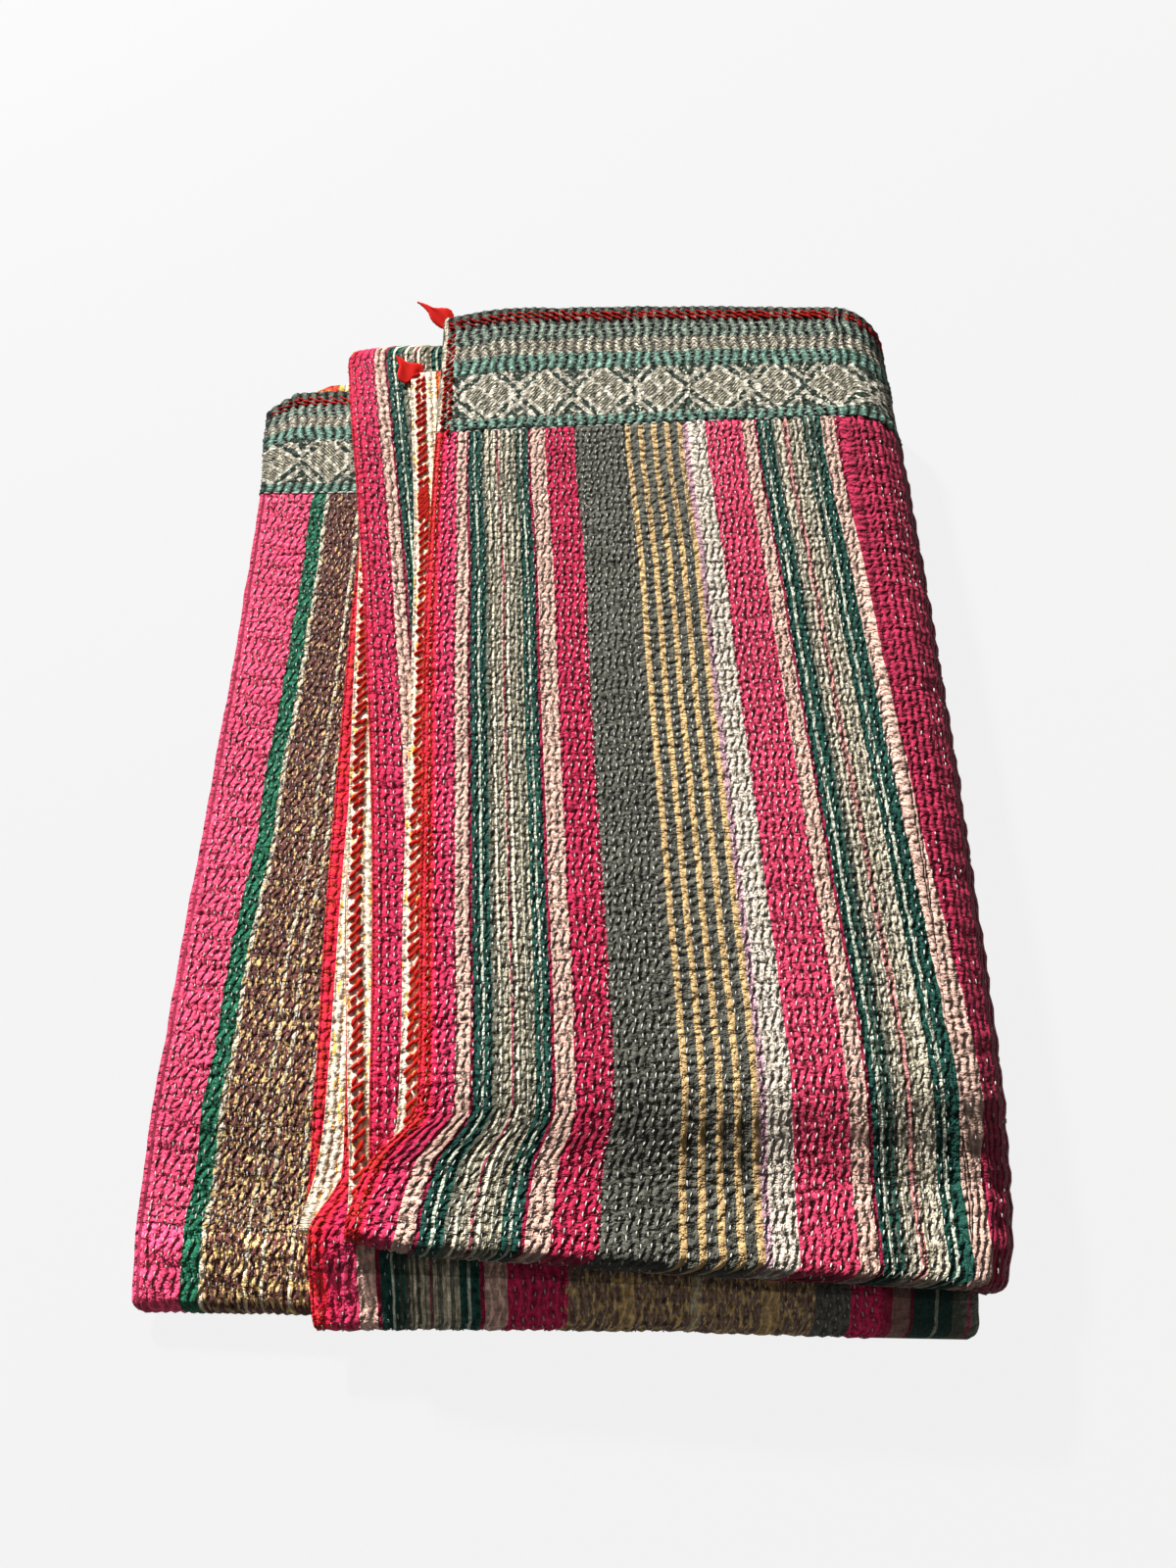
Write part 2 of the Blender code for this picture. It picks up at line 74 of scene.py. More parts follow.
NOSE_AIR = 0.35        # air left in the lowest near fold, past the fold inside it
MIDDLE_X, MIDDLE_Y = -6.2, 308.0
HALF_WIDTH = 672.0     # from an open edge of the quilt to its left-hand fold
BORDER_BED = 1.0       # how deep a border's bed in the quilt is
RIB = 6.0              # rib to rib in the borders
ROUND = 0.9            # over how much of its edge the cloth is rounded
CREASE = 103.0         # y nearer than which an open edge strays from its line
SKEW_FADE = 150.0      # how far in from the edge the stripes stray with it

LEFT_FOLD = 3.0        # the turn at which the left-hand fold starts
ACROSS_END = 7.0

# Hems, seams and folds: y at seven places across the cloth
STATION_AT = (0.0, 1.0, 2.0, 3.0, 4.0, 5.0, 6.0)
STATIONS = {
    #             top_edge right right_under left lower_right_under lower_right lower_edge
    "hem_1":     (597.0, 598.5, 570.0, 515.0, 566.0, 574.0, 557.0),
    "seam_1":    (499.0, 507.0, 490.0, 455.0, 480.0, 478.0, 460.0),
    "far_line":  (440.0, 440.0, 440.0, 440.0, 440.0, 440.0, 440.0),
    "near_line": (66.0, 66.0, 66.0, 66.0, 66.0, 66.0, 66.0),
    "slope_line": (53.0, 32.5, 32.5, 56.0, 54.0, 52.0, 58.0),
    "near_1":    (56.0, 32.5, 33.0, 60.0, 54.0, 48.0, 60.0),
    "far_1":     (568.0, 578.0, 562.0, 506.0, 560.0, 580.0, 580.5),
    "near_2":    (16.5, 12.0, 20.0, 26.5, 35.0, 44.0, 54.0),
    "seam_2":    (466.0, 470.0, 478.0, 479.0, 486.0, 480.0, 470.0),
    "hem_2":     (560.0, 566.0, 574.0, 568.0, 578.0, 574.0, 562.0),
}

# How far some of them bow out of those lines: along the upper layer's top, and on
# both sides of the left-hand fold
BOW_AT = (0.0, 0.045, 0.1, 0.17, 0.55, 1.0, 1.5, 2.0, 2.83, 2.9, 2.955, 3.0,
          3.045, 3.1, 3.17, 3.55, 4.0)
FLAT = (0.0,) * 9
BOWS = {
    "hem_1":  (0.0, 2.5, 5.0, 7.0, 4.5, -3.0, -2.0, 0.0, *FLAT),
    "near_1": (-2.0, -3.5, -5.0, -5.0, -3.0, 1.5, 0.5, 0.0, *FLAT),
    "near_2": (2.0, 2.0, 2.5, 3.0, 4.0, 2.0, 0.5, 0.0, *FLAT),
    "hem_2":  (0.0, 0.0, 0.0, 0.0, 0.0, 0.0, 0.0, 0.0, 0.0, 2.0, 3.0, -13.0,
               2.0, 12.0, 12.0, 4.0, 0.0),
}

# Stretches along the cloth: its kind, the stations at its ends, the leaf numbers in
# the upper and lower layer at its start and at its end, its nominal length, and the
# step between rings
LENGTHS = (
    # kind, from, to, upper, lower, next upper, next lower, length, step
    ("run", "hem_1", "seam_1", 0, 1, 0, 1, 95.0, 6.4),
    ("run", "seam_1", "far_line", 0, 1, 0, 1, 64.0, 3.5),
    ("run", "far_line", "near_line", 0, 1, 0, 1, 374.0, 3.7),
    ("run", "near_line", "near_1", 0, 1, 0, 1, 24.0, 3.0),
    ("near", "near_1", "near_1", 0, 1, 3, 2, 18.0, 1.8),
    ("run", "near_1", "near_line", 3, 2, 3, 2, 24.0, 6.0),
    ("run", "near_line", "far_line", 3, 2, 3, 2, 374.0, 8.0),
    ("run", "far_line", "far_1", 3, 2, 3, 2, 124.0, 5.5),
    ("far", "far_1", "far_1", 3, 2, 4, 5, 9.0, 1.6),
    ("run", "far_1", "far_line", 4, 5, 4, 5, 124.0, 8.0),
    ("run", "far_line", "near_line", 4, 5, 4, 5, 374.0, 9.0),
    ("run", "near_line", "slope_line", 4, 5, 4, 5, 20.0, 3.0),
    ("run", "slope_line", "near_2", 4, 5, 4, 5, 24.0, 2.4),
    ("near", "near_2", "near_2", 4, 5, 7, 6, 18.0, 1.8),
    ("run", "near_2", "slope_line", 7, 6, 7, 6, 24.0, 4.0),
    ("run", "slope_line", "near_line", 7, 6, 7, 6, 20.0, 4.0),
    ("run", "near_line", "far_line", 7, 6, 7, 6, 374.0, 4.7),
    ("run", "far_line", "seam_2", 7, 6, 7, 6, 38.0, 4.2),
    ("run", "seam_2", "hem_2", 7, 6, 7, 6, 82.0, 6.0),
)
STARTS = np.concatenate([[0.0], np.cumsum([row[7] for row in LENGTHS])])
CLOTH_LENGTH = float(STARTS[-1])
STRIP_LENGTHS = (1.42, 1.36)        # metres: the top and the low border strip, in the same way
BORDER_1_END = float(STARTS[1])
BORDER_2_START = float(STARTS[18])
SECOND_HALF = float(STARTS[9])      # from here on, the cloth is patched differently

# Each leaf's open edge at the left of the top half: x at seven distances y
EDGE_AT = (12.0, 50.0, 78.0, 103.0, 215.0, 400.0, 575.0)
OPEN_EDGES = (
    #  nose    skew   skew  crease  near   middle  far
    (-110.0, -108.0, -100.0, -78.0, -83.0, -91.0, -92.0),
    (-96.0, -94.0, -91.0, -87.0, -92.0, -99.0, -113.0),
    (-98.0, -98.0, -100.0, -101.0, -108.5, -129.0, -154.5),
    (-110.0, -108.5, -109.5, -111.5, -122.0, -132.0, -140.0),
    (-124.0, -126.5, -113.0, -113.5, -123.0, -130.0, -138.0),
    (-131.0, -131.5, -126.0, -123.5, -126.0, -128.0, -134.0),
    (-131.0, -130.0, -129.7, -130.0, -134.0, -136.5, -134.0),
    (-122.0, -122.0, -122.0, -122.0, -124.0, -126.0, -126.0),
)

# The left-hand fold of each pass, under the open edges: x of the fold
LEFT_FOLDS = {0: -195.0, 1: -195.0, 2: -198.0, 3: -198.0,
              4: -201.0, 5: -201.0, 6: -207.0, 7: -207.0}

# Past this x the left-hand folds are drawn in: what is left of that part at four
# distances y
DRAWN_TO = -195.0
DRAWN_AT = (95.0, 440.0, 475.0, 560.0)
DRAWN_IN = (1.0, 0.44, 0.44, 1.0)

# The right-hand fold: x of its outside at six distances y
RIGHT_AT = (12.0, 66.0, 116.0, 290.0, 440.0, 603.0)
RIGHT_FOLD = (183.0, 195.0, 196.0, 197.0, 195.0, 188.0)

# The two red corner tabs: where the root is, which way it points, how big
TABS = (
    # name, x, y, z, turn in degrees, length, width, rise
    ("corner_tab_top", -92.7, 597.9, 52.3, 146.0, 20.0, 11.0, 4.0),
    ("corner_tab_second", -112.4, 557.6, 47.2, 128.0, 14.0, 13.5, 3.0),
)

TAB_TUCK, TAB_WIDER = 6.0, 3.0      # how far a tab's root is tucked in, and how much wider it is

# The light: the sun's strength, its size and its turn about x and y in degrees
SUN, SUN_SIZE, SUN_TURN = 6.3, 4.0, (-50.0, -42.0)
WORLD_LIGHT = 0.09
SENSOR = 36.0          # millimetres

# The raised cords of the mustard stripe: where the first starts and how they repeat
CORDS_FROM, CORD_PITCH, CORDS = 118.6, 7.9, 5

# Stripes, each from its distance in millimetres to the next one's
EDGE_STRIPES = (
    # from, colour
    (0.0, "pink_red"), (6.5, "pink_deep"), (10.5, "pink_lilac"), (17.5, "pale_pink"),
    (24.2, "maroon"), (25.4, "dark_green"), (29.6, "pale_line"), (30.6, "dark_green"),
    (34.0, "sage_dark"), (36.0, "sage"), (37.6, "cream_line"), (38.6, "sage_dark"),
    (39.8, "sage"), (41.2, "cream_line"), (42.2, "sage"), (43.1, "maroon_soft"),
    (44.2, "sage"), (45.6, "cream_line"), (46.6, "sage_dark"), (48.0, "sage"),
    (49.6, "cream_line"), (50.6, "sage_dark"), (52.0, "sage"), (54.0, "dark_green"),
    (57.0, "pale_line"), (57.9, "dark_green"), (61.6, "maroon"), (63.0, "pale_pink"),
    (72.0, "pink"), (90.0, "dark_grey"),
)
FIRST_STRIPES = (
    (90.0, "dark_grey"), (118.8, "mustard"), (122.3, "dark_grey"), (126.7, "mustard"),
    (130.2, "dark_grey"), (134.6, "mustard"), (138.1, "dark_grey"), (142.5, "mustard"),
    (146.0, "dark_grey"), (150.4, "mustard"), (154.0, "lilac"), (157.4, "cream"),
    (159.4, "maroon_soft"), (160.0, "cream"), (168.0, "pink_rose"), (191.0, "pale_pink"),
    (199.0, "maroon"), (200.6, "dark_green"), (204.4, "pale_line"), (205.4, "dark_green"),
    (209.6, "sage_dark"), (211.0, "cream_soft"), (217.0, "rose_line"), (219.8, "sage"),
    (222.0, "maroon_soft"), (223.2, "cream_soft"),
    (229.0, "dark_green"), (232.2, "pale_line"), (233.2, "dark_green"), (239.5, "dusty_pale"),
    # the last stripe, from the right-hand turn on, is painted shade: a darkened pink for the side that
    # turns away from the light
    (247.0, "maroon"), (248.2, "rose"),
)
SECOND_STRIPES = (
    (81.0, "crimson"), (105.0, "brown_gold"), (128.0, "mustard"), (133.0, "brown_gold"),
    (158.0, "sage"), (163.0, "brown_gold"), (190.0, "mustard"), (197.0, "brown_gold"),
    (214.0, "dark_grey"), (229.0, "crimson"), (247.0, "dusty_pink"), (256.0, "maroon"),
    (257.2, "dark_green"), (261.5, "pale_line"), (262.3, "dark_green"), (266.5, "pale_line"),
    (267.3, "dark_green"), (274.0, "sage_dark"), (280.0, "maroon_soft"), (281.5, "sage_dark"),
    (287.0, "dark_green"), (293.0, "pale_pink"),
    (301.0, "pink"),
)
FOLD_STRIPES = (
    # from the left-hand fold inwards
    (0.0, "pink_faded"), (29.5, "fold_green"), (38.2, "cream_soft"),
    (40.4, "mauve"), (58.0, "cream_soft"),
    (59.6, "mauve"), (66.0, "cream_soft"), (67.2, "mauve"), (79.0, "cream_soft"),
    (80.6, "mauve"), (90.0, "sage"), (92.5, "mauve"), (112.0, "pink"),
)
BORDER_STRIPES = (
    # from the hem inwards
    (0.0, "hem_dark"), (6.0, "border_green"), (13.5, "border_grey"), (25.5, "border_cream"),
    (37.5, "border_teal"), (50.0, "border_cream"), (86.5, "border_teal"),
    (97.5, "border_cream"),
)
COLOURS = {
    # linear red, green and blue
    "pink_red": (0.66, 0.014, 0.042),
    "pink_deep": (0.60, 0.020, 0.075),
    "pink_lilac": (0.53, 0.030, 0.090),
    "pink": (0.40, 0.016, 0.055),
    "pale_pink": (0.56, 0.345, 0.27),
    "dusty_pale": (0.52, 0.33, 0.26),
    "pink_rose": (0.52, 0.040, 0.092),
    # a darkened pink, painted shade for the right-hand turn
    "rose": (0.30, 0.016, 0.048),
    "rose_line": (0.52, 0.20, 0.18),
    "pink_faded": (0.72, 0.062, 0.140),
    "dusty_pink": (0.40, 0.20, 0.165),
    "maroon": (0.23, 0.008, 0.035),
    "maroon_soft": (0.33, 0.055, 0.085),
    "crimson": (0.50, 0.015, 0.075),
    "dark_green": (0.009, 0.052, 0.038),
    "pale_line": (0.42, 0.44, 0.34),
    "sage": (0.43, 0.375, 0.26),
    "sage_dark": (0.115, 0.118, 0.085),
    "cream_line": (0.72, 0.63, 0.46),
    "cream_soft": (0.48, 0.42, 0.31),
    "cream": (0.54, 0.46, 0.37),
    "lilac": (0.42, 0.24, 0.28),
    "dark_grey": (0.085, 0.083, 0.066),
    "mustard": (0.45, 0.295, 0.13),
    "brown_gold": (0.19, 0.115, 0.085),
    "fold_green": (0.014, 0.105, 0.055),
    "mauve": (0.11, 0.042, 0.034),
    "hem_dark": (0.105, 0.115, 0.09),
    "border_green": (0.125, 0.13, 0.105),
    "border_grey": (0.19, 0.235, 0.185),
    "border_cream": (0.58, 0.52, 0.40),
    "border_teal": (0.150, 0.265, 0.205),
}

PRINT = (
    # the reverse side's blots: from which depth of the noise on, and their colour
    (0.0, (0.50, 0.02, 0.05)), (0.40, (0.62, 0.045, 0.02)), (0.48, (0.74, 0.17, 0.03)),
    (0.55, (0.80, 0.42, 0.06)), (0.62, (0.78, 0.66, 0.48)),
)


# ---------------------------------------------------------------- settings

class QuiltClothSettings(bpy.types.PropertyGroup):
    """Sizes of the quilted cloth and its stitches."""

    row_gap: bpy.props.FloatProperty(
        name="Row gap", description="From one row of running stitches to the next",
        default=0.004, min=0.003, max=0.012, unit="LENGTH", precision=4)
    stitch_pitch: bpy.props.FloatProperty(
        name="Stitch pitch", description="From one running stitch to the next in its row",
        default=0.0046, min=0.003, max=0.012, unit="LENGTH", precision=4)
    stitch_length: bpy.props.FloatProperty(
        name="Stitch length", description="Length of the thread that shows in a stitch",
        default=0.0027, min=0.001, max=0.006, unit="LENGTH", precision=4)
    stitch_width: bpy.props.FloatProperty(
        name="Stitch width", description="Thickness of the stitching thread",
        default=0.0008, min=0.0003, max=0.002, unit="LENGTH", precision=5)
    puff: bpy.props.FloatProperty(
        name="Puff", description="How far the cloth stands up between two rows",
        default=0.0009, min=0.0, max=0.002, unit="LENGTH", precision=5)
    thread_colour: bpy.props.FloatVectorProperty(
        name="Thread", description="Colour of the running stitches",
        default=(0.94, 0.91, 0.83, 1.0), size=4, subtype="COLOR", min=0.0, max=1.0)
    edge_thread_colour: bpy.props.FloatVectorProperty(
        name="Edge thread", description="Colour of the thread along the edges",
        default=(0.74, 0.030, 0.022, 1.0), size=4, subtype="COLOR", min=0.0, max=1.0)
    tab_colour: bpy.props.FloatVectorProperty(
        name="Corner tabs", description="Colour of the two red corner tabs",
        default=(0.95, 0.020, 0.012, 1.0), size=4, subtype="COLOR", min=0.0, max=1.0)


class QuiltStageSettings(bpy.types.PropertyGroup):
    """The floor, the light and the camera."""

    floor_colour: bpy.props.FloatVectorProperty(
        name="Floor", description="Colour of the plain floor",
        default=(0.008, 0.008, 0.008, 1.0), size=4, subtype="COLOR", min=0.0, max=1.0)
    floor_glow: bpy.props.FloatProperty(
        name="Floor glow", description="How much the floor is lit from below, as a light table is",
        default=0.866, min=0.0, max=3.0)
    lens: bpy.props.FloatProperty(
        name="Lens", description="Focal length of the camera, in millimetres",
        default=27.045, min=10.0, max=200.0)
    camera_height: bpy.props.FloatProperty(
        name="Camera height", description="Height of the camera over the floor",
        default=0.6, min=0.2, max=3.0, unit="LENGTH")
    camera_tilt: bpy.props.FloatProperty(
        name="Camera tilt", description="How far the camera leans back from straight down",
        default=math.radians(26.0), subtype="ANGLE")


# ------------------------------------------------------------ shape of the cloth

def ease(share):
    """0 to 1 with a level start and finish."""
    share = np.clip(share, 0.0, 1.0)
    return share * share * (3.0 - 2.0 * share)


def smooth_through(at, places, values):
    """A smooth curve through the values that a table gives at its places."""
    places, values = np.asarray(places, float), np.asarray(values, float)
    secants = np.diff(values) / np.diff(places)
    before, after = secants[:-1], secants[1:]
    agree = before * after > 0
    inner = np.where(agree, 2.0 * before * after / np.where(agree, before + after, 1.0), 0.0)
    slopes = np.concatenate([secants[:1], inner, secants[-1:]])
    spot = np.clip(np.searchsorted(places, at, side="right") - 1, 0, len(places) - 2)
    gap = places[spot + 1] - places[spot]
    part = np.clip((at - places[spot]) / gap, 0.0, 1.0)
    start, end = values[spot], values[spot + 1]
    rise = ease(part)
    leave = part * (1.0 - part) ** 2 * gap * slopes[spot]
    arrive = -part ** 2 * (1.0 - part) * gap * slopes[spot + 1]
    return start + (end - start) * rise + leave + arrive


def drift(first, second, seed, scale):
    """A slow, uneven change between about -1 and 1 over two coordinates."""
    total = 0.0
    for turn in range(4):
        angle = seed * 1.7 + turn * 2.39996
        size = scale * (1.0 - 0.17 * turn)
        along = first * math.cos(angle) + second * math.sin(angle)
        total = total + np.sin(along / size + seed * (turn + 1.3)) * 0.4
    return total


def pitch(x, y):
    """Leaf to leaf distance at a place in the stack."""
    loose = OPEN_PITCH + (LEAF_PITCH - OPEN_PITCH) * np.clip((x + 210.0) / 370.0, 0.0, 1.0)
    return NEAR_PITCH + (loose - NEAR_PITCH) * ease((y - PRESSED_TO) / (PRESSED_FROM - PRESSED_TO))


def top_waves(x, y):
    """How far the top leaf stands up from the leaf under it in soft waves."""
    waves = 0.5 + 0.3 * np.sin(x / 47.0 + 0.6) * np.sin(y / 61.0 + 1.1)
    waves = waves + 0.2 * np.sin(x / 71.0 - y / 43.0)
    return PUFF * waves * ease((y - PRESSED_TO) / (PRESSED_FROM - PRESSED_TO))


def held_up(leaf, x, y, below):
    """How much a leaf still holds up what lies over it: 1 over the leaf, less past it."""
    share = np.ones_like(y)
    if not below:
        edge = smooth_through(y, EDGE_AT, OPEN_EDGES[leaf])
        share = ease((x - edge + EDGE_SETTLE) / EDGE_SETTLE)
    if leaf < 4:
        fold = 32.5 + 0.064 * (160.0 - x) if below else 53.0 - 0.0765 * (x + 108.0)
        share = share * ease((y - fold + NEAR_SETTLE) / NEAR_SETTLE)
    elif leaf in (5, 6):
        fold = 20.0 + 0.034 * (x + 207.0) if below else 53.0 - 0.0765 * (x + 108.0)
        share = share * (NOSE_AIR + (1.0 - NOSE_AIR) * ease((y - fold + SETTLE) / SETTLE))
    if below and leaf < 6:
        drop = FAR_DROP * np.clip((160.0 - x) / 367.0, 0.0, 1.0) ** 3
        share = share * (1.0 - drop * ease((y - FAR_LINE) / FAR_SETTLE))
    return share


def under_heights(x, y):
    """Heights of the middles of the eight leaves of the lower half of the stack."""
    step = pitch(x, y)
    heights = [np.full_like(x, CLOTH / 2)]
    for leaf in range(7):
        heights.append(heights[-1] + step * held_up(leaf, x, y, True))
    return heights


def top_heights(x, y):
    """Heights of the middles of the eight leaves of the upper half, leaf 0 on top."""
    step = pitch(x, y)
    heights = [under_heights(x, y)[-1] + step * held_up(7, x, y, True)]
    for leaf in range(7, 0, -1):
        heights.append(heights[-1] + step * held_up(leaf, x, y, False))
    return heights[::-1]


def at_leaf(heights, leaf):
    """Height at a leaf number that may lie between two leaves, as in a fold."""
    stacked = np.stack(heights)
    low = np.clip(np.floor(leaf).astype(int), 0, 6)
    part = leaf - low
    place = np.arange(len(leaf))
    return stacked[low, place] * (1.0 - part) + stacked[low + 1, place] * part


def station_y(station, run):
    """y of a hem, seam or fold at places across the cloth."""
    y = np.interp(run, STATION_AT, STATIONS[station])
    if station in BOWS:
        y = y + np.interp(run, BOW_AT, BOWS[station])
    return y


def layer_place(across, length, share, lower):
    """(y, leaf number, turn) of one layer: turn goes from 0 to 1 in a fold."""
    kind, start, end, upper_leaf, lower_leaf, next_upper, next_lower = LENGTHS[length][:7]
    first, last = (lower_leaf, next_lower) if lower else (upper_leaf, next_upper)
    run = across - np.clip(across - LEFT_FOLD, 0.0, 1.0)
    begin, finish = (station_y(station, run) for station in (start, end))
    if kind == "run":
        return begin + (finish - begin) * share, np.full_like(across, first), np.zeros_like(across)
    turn = math.pi * share
    middle, radius = (first + last) / 2, abs(last - first) / 2
    step = pitch(np.full_like(across, 60.0), begin)
    nose = radius * step * FOLD_STRETCH * np.sin(turn)
    leaf = middle - radius * np.cos(turn)
    return begin + (nose if kind == "far" else -nose), leaf, (1.0 - np.cos(turn)) / 2


def open_edge(length, y, turn, lower):
    """x of the open edge of the layer."""
    upper_leaf, lower_leaf, next_upper, next_lower = LENGTHS[length][3:7]
    first, last = (lower_leaf, next_lower) if lower else (upper_leaf, next_upper)
    here = smooth_through(y, EDGE_AT, OPEN_EDGES[first])
    return here + (smooth_through(y, EDGE_AT, OPEN_EDGES[last]) - here) * turn


def skew_at(across, length, share):
    """How far the open edge strays from its line, nearer than the crease."""
    y, turn = outlines(across, length, share)[0:3:2]
    is_lower = across > LEFT_FOLD + 0.5
    straight = np.maximum(y, CREASE)
    skew = [open_edge(length, y, turn, lower) - open_edge(length, straight, turn, lower)
            for lower in (False, True)]
    return np.where(is_lower, skew[1], skew[0])


def skewed(u, skew):
    """Distance in x from the open edge to a stripe, which follows the edge less and less."""
    return u - skew * (1.0 - np.clip(1.0 - u / SKEW_FADE, 0.0, 1.0) ** 1.6)


def outlines(across, length, share):
    """(y, leaf, turn, lower half?, x of the open edge, of the turn and of the left fold)."""
    upper = layer_place(across, length, share, False)
    lower = layer_place(across, length, share, True)
    swap = (1.0 - np.cos(math.pi * np.clip(across - LEFT_FOLD, 0.0, 1.0))) / 2
    y = upper[0] + (lower[0] - upper[0]) * swap
    leaf = upper[1] + (lower[1] - upper[1]) * swap
    turn = upper[2]
    is_lower = across > LEFT_FOLD + 0.5
    outer = (top_heights(np.full_like(y, 160.0), y)[0] - CLOTH / 2) / 2
    turn_x = smooth_through(y, RIGHT_AT, RIGHT_FOLD) - outer - CLOTH / 2
    edge = np.where(is_lower, open_edge(length, y, turn, True), open_edge(length, y, turn, False))
    first_leaf, last_leaf = LENGTHS[length][3], LENGTHS[length][5]
    left = LEFT_FOLDS[first_leaf] + (LEFT_FOLDS[last_leaf] - LEFT_FOLDS[first_leaf]) * turn
    left = DRAWN_TO + (left - DRAWN_TO) * smooth_through(y, DRAWN_AT, DRAWN_IN)
    return y, leaf, turn, is_lower, edge, turn_x, left


def cloth_middle(across, length, share):
    """Points in the middle of the cloth's thickness."""
    y, leaf, _, is_lower, edge, turn_x, left = outlines(across, length, share)
    on_top = np.where(is_lower, ACROSS_END - across, across)        # 0 at the edge, 1 at the turn
    round_turn = np.clip(on_top - 1.0, 0.0, 1.0)
    beneath = np.clip(on_top - 2.0, 0.0, 1.0)
    x = edge + (turn_x - edge) * np.clip(on_top, 0.0, 1.0)
    x = np.where(on_top > 2.0, turn_x + (left - turn_x) * beneath, x)
    flat_x = x.copy()
    top = at_leaf(top_heights(flat_x, y), leaf)
    under = at_leaf(under_heights(flat_x, y), leaf)
    turning = (on_top >= 1.0) & (on_top <= 2.0)
    middle, radius = (top + under) / 2, (top - under) / 2
    z = np.where(on_top < 1.0, top, under)
    x = np.where(turning, flat_x + radius * np.sin(math.pi * round_turn), x)
    z = np.where(turning, middle + radius * np.cos(math.pi * round_turn), z)
    if LENGTHS[length][3] == LENGTHS[length][5] == 0:
        z = z + np.where(is_lower, 0.0, top_waves(flat_x, y) * (1.0 - round_turn) ** 2)
    in_left = (across > LEFT_FOLD) & (across < LEFT_FOLD + 1.0)
    bulge = 0.0 if LENGTHS[length][0] == "run" else np.sin(math.pi * share)
    half = pitch(flat_x, y) / 2 * (1.0 + CORNER_STRETCH * bulge)
    x = np.where(in_left, left - half * np.sin(math.pi * (across - LEFT_FOLD)), x)
    return np.stack([x, y, z], axis=1)


def cloth_frame(across, length, share):
    """Points of the cloth's middle, and the directions across, along and out of it."""
    step_across, step_share = 2e-3, 1e-3
    here = cloth_middle(across, length, share)
    side = cloth_middle(np.clip(across + step_across, 0.0, ACROSS_END), length, share)
    side = side - cloth_middle(np.clip(across - step_across, 0.0, ACROSS_END), length, share)
    ahead = cloth_middle(across, length, np.clip(share + step_share, 0.0, 1.0))
    ahead = ahead - cloth_middle(across, length, np.clip(share - step_share, 0.0, 1.0))
    side /= np.linalg.norm(side, axis=1)[:, None]
    ahead /= np.linalg.norm(ahead, axis=1)[:, None]
    outward = np.cross(ahead, side)
    outward /= np.linalg.norm(outward, axis=1)[:, None]
    return here, side, ahead, outward


# A column's place across the cloth is a distance from one of these lines
FROM_UPPER_EDGE, PLAIN, FROM_LEFT, PAST_LEFT, FROM_LOWER_EDGE, TO_TURN = range(6)
LAST_COLUMN = 246.0    # from the upper edge; the rest of the way to the turn goes by shares
TO_TURN_ROWS = 2.0     # stitched rows on that last bit
TURN_ROWS = 22.0       # stitched rows round the turn


def to_across(kind, value, length, share):
    """Turns from distances (see the kinds above) at one place along the cloth."""
    guess = np.where(kind == FROM_UPPER_EDGE, value / 250.0, value)
    guess = np.where(kind == FROM_LEFT, LEFT_FOLD - value / 360.0, guess)
    guess = np.where(kind == PAST_LEFT, LEFT_FOLD + 1.0 + value / 360.0, guess)
    guess = np.where(kind == FROM_LOWER_EDGE, ACROSS_END - value / 270.0, guess)
    guess = np.where(kind == TO_TURN, 0.96 + 0.04 * value, guess)
    for _ in range(2):
        inside = np.clip(guess, 0.0, ACROSS_END)
        _, _, _, _, edge, turn_x, left = outlines(inside, length, share)
        top, under = turn_x - edge, turn_x - left
        from_edge = skewed(value, skew_at(inside, length, share)) / top
        guess = np.where(kind == FROM_UPPER_EDGE, from_edge, guess)
        guess = np.where(kind == FROM_LEFT, LEFT_FOLD - value / under, guess)
        guess = np.where(kind == PAST_LEFT, LEFT_FOLD + 1.0 + value / under, guess)
        guess = np.where(kind == FROM_LOWER_EDGE, ACROSS_END - from_edge, guess)
        begin = skewed(np.full_like(inside, LAST_COLUMN), skew_at(inside, length, share)) / top
        begin = np.minimum(begin, 1.0)
        guess = np.where(kind == TO_TURN, begin + (1.0 - begin) * value, guess)
    return np.clip(guess, 0.0, ACROSS_END)


def width_at(across, length, share):
    """Distance across the flat cloth from its first open edge, in millimetres."""
    _, _, _, is_lower, edge, turn_x, left = outlines(across, length, share)
    on_top = np.where(is_lower, ACROSS_END - across, across)
    top, under = turn_x - edge, turn_x - left
    skew = skew_at(across, length, share)
    from_edge = on_top * top
    for _ in range(5):
        from_edge = on_top * top + from_edge - skewed(from_edge, skew)
    round_turn = top + skew + (on_top - 1.0) * (HALF_WIDTH - 3.0 - top - skew - under)
    from_left = HALF_WIDTH - 3.0 - (3.0 - on_top) * under
    u = np.where(on_top < 1.0, from_edge, np.where(on_top < 2.0, round_turn, from_left))
    u = np.where(is_lower, 2.0 * HALF_WIDTH - u, u)
    in_left = (across > LEFT_FOLD) & (across < LEFT_FOLD + 1.0)
    return np.where(in_left, HALF_WIDTH + 6.0 * (across - LEFT_FOLD - 0.5), u)


def row_place(row_gap):
    """Columns of the showing top: distance from the edge and the row number there.

    Two columns lie in each row, and four where the cords lie between the rows.
    """
    u, rows = [], []
    cords_start = CORDS_FROM - 0.5 * (CORD_PITCH - 4.2)
    count = int(round(cords_start / row_gap))
    for step in range(2 * count):
        u.append(step * cords_start / (2 * count))
        rows.append(step / 2)
    for step in range(4 * CORDS):
        u.append(cords_start + step * CORD_PITCH / 4)
        rows.append(count + step / 4)
    after, place = count + CORDS, cords_start + CORDS * CORD_PITCH
    steps = int((LAST_COLUMN - place) / (row_gap / 2))
    for step in range(steps):
        u.append(place + step * row_gap / 2)
        rows.append(after + step / 2)
    return np.array(u), np.array(rows)


